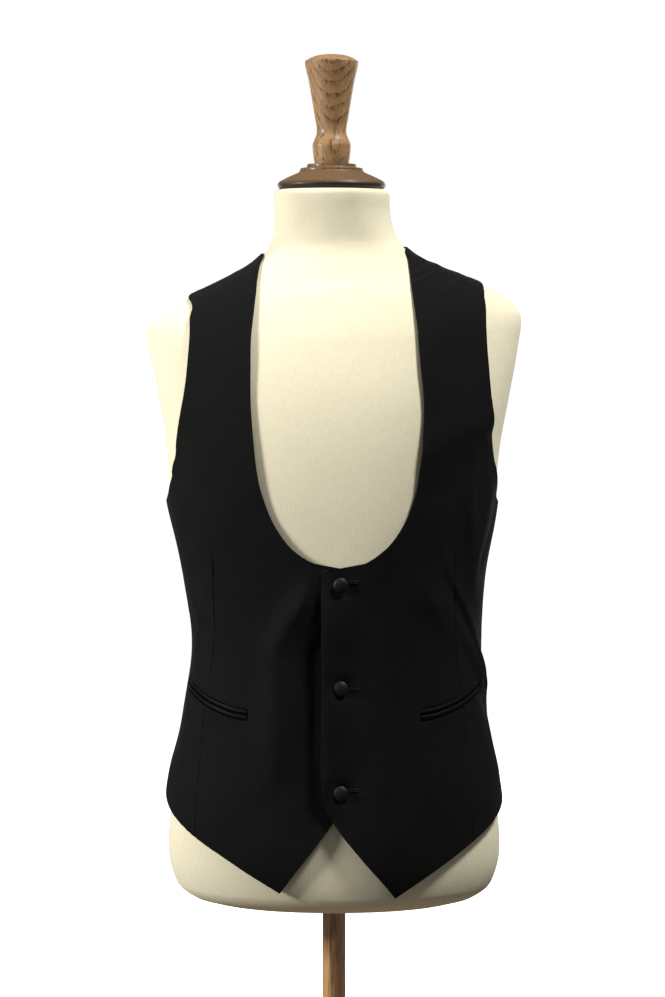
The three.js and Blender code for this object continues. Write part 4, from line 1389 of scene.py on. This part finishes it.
def edgeStitches(name, panel):
    # short threads, spaced along the line stitchIn from the front's edge and neckline
    rows, numbers = (np.arange(count) for count in panel["z"].shape)
    columns = np.array([np.interp(edges["stitchIn"], row, numbers) for row in panel["fromInner"]])
    low = columns.astype(int)
    part = (columns - low)[:, None]
    line = panel["outer"][rows, low] * (1 - part) + panel["outer"][rows, low + 1] * part
    ups = panel["normal"][rows, low]
    length = lengthAlong(line, 0)
    spacing = sewing["spacing"]
    middle = np.arange(spacing, length[-1] - spacing, spacing)
    middle = middle + sum(size * np.sin(middle * rate) for size, rate in sewing["uneven"])
    s = sewing["rings"]
    reach = middle[:, None] + s * sewing["length"]
    paths = np.stack([np.interp(reach, length, line[:, k]) for k in range(3)], -1)
    up = unit(np.stack([np.interp(reach, length, ups[:, k]) for k in range(3)], -1))
    height = sewing["radius"] * (sewing["proud"] - sewing["sinking"] * s**2)
    radii = np.broadcast_to(sewing["radius"] * sewing["ringRadii"], reach.shape)
    return tubesMesh(name, paths + up * height[:, None], up, radii, sewing["sides"], blackThread)


def buttonholeStitches(name, tree):
    # two lips of wound thread: radius = lip (1 + windDepth sin(2 pi x / wind)), and a bar tack at their end
    x = np.arange(sewing["holeFrom"], sewing["holeTo"], sewing["wind"] / 6)
    heights = np.array(sewing["holeHeights"])
    apart = np.tile((-1, 1), len(heights))[:, None] * sewing["lipApart"]
    lipZ = np.repeat(heights, 2)[:, None] + apart * (1 + sewing["lipWave"] * np.sin(x))
    winding = sewing["windDepth"] * np.sin(2 * math.pi * x / sewing["wind"])
    wound = sewing["lip"] * (1 + winding)
    sides = sewing["woundSides"]
    lips = threadsOn(name + "_lips", tree, x, lipZ, sewing["lipLift"], wound, sides, blackThread)
    tackX = sewing["holeTo"] + sewing["tackPast"]
    tackZ = heights[:, None] + np.linspace(-1, 1, 13) * sewing["tack"]
    radii = sewing["tackRadius"] * tapered(13, 0.97)
    tacks = threadsOn(name + "_tacks", tree, tackX, tackZ, sewing["tackLift"], radii, sides, blackThread)
    return [lips, tacks]


def pocketTacks(name, side, tree):
    # a thread across both jets at each end of the mouth, near black, so that it also paints the shade at
    # the mouth's ends
    x = pocketEnds[:, None]
    beyond = np.array([[-1], [1]]) * pocket["tackPast"]
    z = mouthAt(x) + np.linspace(-1, 1, 15) * pocketReach
    radii = pocket["tackRadius"] * tapered(15, 0.96)
    sides = sewing["woundSides"]
    return threadsOn(name, tree, side * (x + beyond), z, pocket["tackLift"], radii, sides, shadeThread)


def pocketSeamShades(name, side, tree):
    # three sewn lines along the mouth, in near-black tubes that paint the shade in the ditches: under the
    # lower jet, between the jets and over the upper one
    x = np.linspace(*pocketEnds, pocket["rows"])
    offsets = np.array([-1, 0, 1]) * pocketReach + pocket["seamShadePast"]
    z = mouthAt(x) + offsets[:, None]
    radii = np.array(pocket["seamShadeRadii"])[:, None] * tapered(pocket["rows"], 0.99, 16, 0.5)
    sides = sewing["seamShadeSides"]
    return threadsOn(name, tree, side * x, z, pocket["seamShadeLift"], radii, sides, shadeThread)


frontTrees = {side: treeOf(panel["piece"].data) for side, panel in frontPanels.items()}
sewn = {}
for side, word in ((1, "left"), (-1, "right")):
    sewn[side] = [
        edgeStitches(f"pick_stitches_{word}", frontPanels[side]),
        pocketTacks(f"pocket_tacks_{word}", side, frontTrees[side]),
        pocketSeamShades(f"pocket_seam_shades_{word}", side, frontTrees[side]),
    ]
sewn[1] += buttonholeStitches("buttonholes", frontTrees[1])
for side in (1, -1):
    for piece in sewn[side]:
        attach(piece, "root")
    onFronts[side] += sewn[side]
print("sewing made")

# The flat cut of each panel, with 10 mm seam allowances, is not worked out here: this loop does nothing

for side in (1, -1):
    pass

# Stage: a pale bowl, seen only by the camera, so that it shades nothing

stage = {  # metres
    "flat": 4.5,
    "bend": 2.5,
    "top": 7.0,
    "glow": 0.75,
    "world": 0.16,
}


def addStage():
    # a floor that bends up, over a quarter circle, into a wall
    material, tree, shader = newMaterial("stagePaper", {"Roughness": 0.95, "Specular IOR Level": 0.05})
    shader.inputs["Base Color"].default_value = colours["stage"]
    shader.inputs["Emission Color"].default_value = (1, 1, 1, 1)
    shader.inputs["Emission Strength"].default_value = stage["glow"]
    flat, bend = stage["flat"], stage["bend"]
    turn = np.linspace(0, math.pi / 2, 24)
    radius = np.concatenate([[0.001, 1, 2, 3], flat + bend * np.sin(turn), [flat + bend]])[:, None]
    height = np.concatenate([[0, 0, 0, 0], bend * (1 - np.cos(turn)), [stage["top"]]])[:, None]
    angle = np.linspace(0, 2 * math.pi, 96)
    grid = np.stack([radius * np.cos(angle), radius * np.sin(angle), height + 0 * angle], -1)
    index = np.arange(grid[..., 0].size).reshape(grid.shape[:2])
    bowl = makeMesh("stage", grid.reshape(-1, 3) / millimetre, [gridQuads(index)], material)
    bowl.visible_shadow = False
    bowl.visible_diffuse = False
    bowl.visible_glossy = False


addStage()
world = bpy.data.worlds.new("world")
world.use_nodes = True
world.node_tree.nodes["Background"].inputs["Color"].default_value = (1, 0.995, 0.985, 1)
world.node_tree.nodes["Background"].inputs["Strength"].default_value = stage["world"]
scene.world = world
scene.view_settings.view_transform = "Standard"

# metres and watts
lights = tableOf("x y z size power", [
    (-2.3, -0.8, 1.3, 0.5, 98),
    (1.25, -1.0, 3.1, 0.5, 136),
    (1.0, 2.2, 1.15, 1.2, 18),
    (-1.0, 2.2, 1.0, 1.0, 9),
])
aim = (0, 0, 0.6)


def addLight(name, light):  # a square lamp that faces the aim
    data = bpy.data.lights.new(name, "AREA")
    data.size = light["size"]
    data.energy = light["power"]
    lamp = bpy.data.objects.new(name, data)
    place = np.array([light[axis] for axis in "xyz"])
    right, ahead, up = np.array(aim) - place
    lamp.location = place
    tilt = math.atan2(math.hypot(right, ahead), -up)
    lamp.rotation_euler = (tilt, 0, math.atan2(ahead, right) - math.pi / 2)
    scene.collection.objects.link(lamp)


for number, light in enumerate(rowsIn(lights)):
    addLight(f"light{number}", light)
print("stage and lights made")
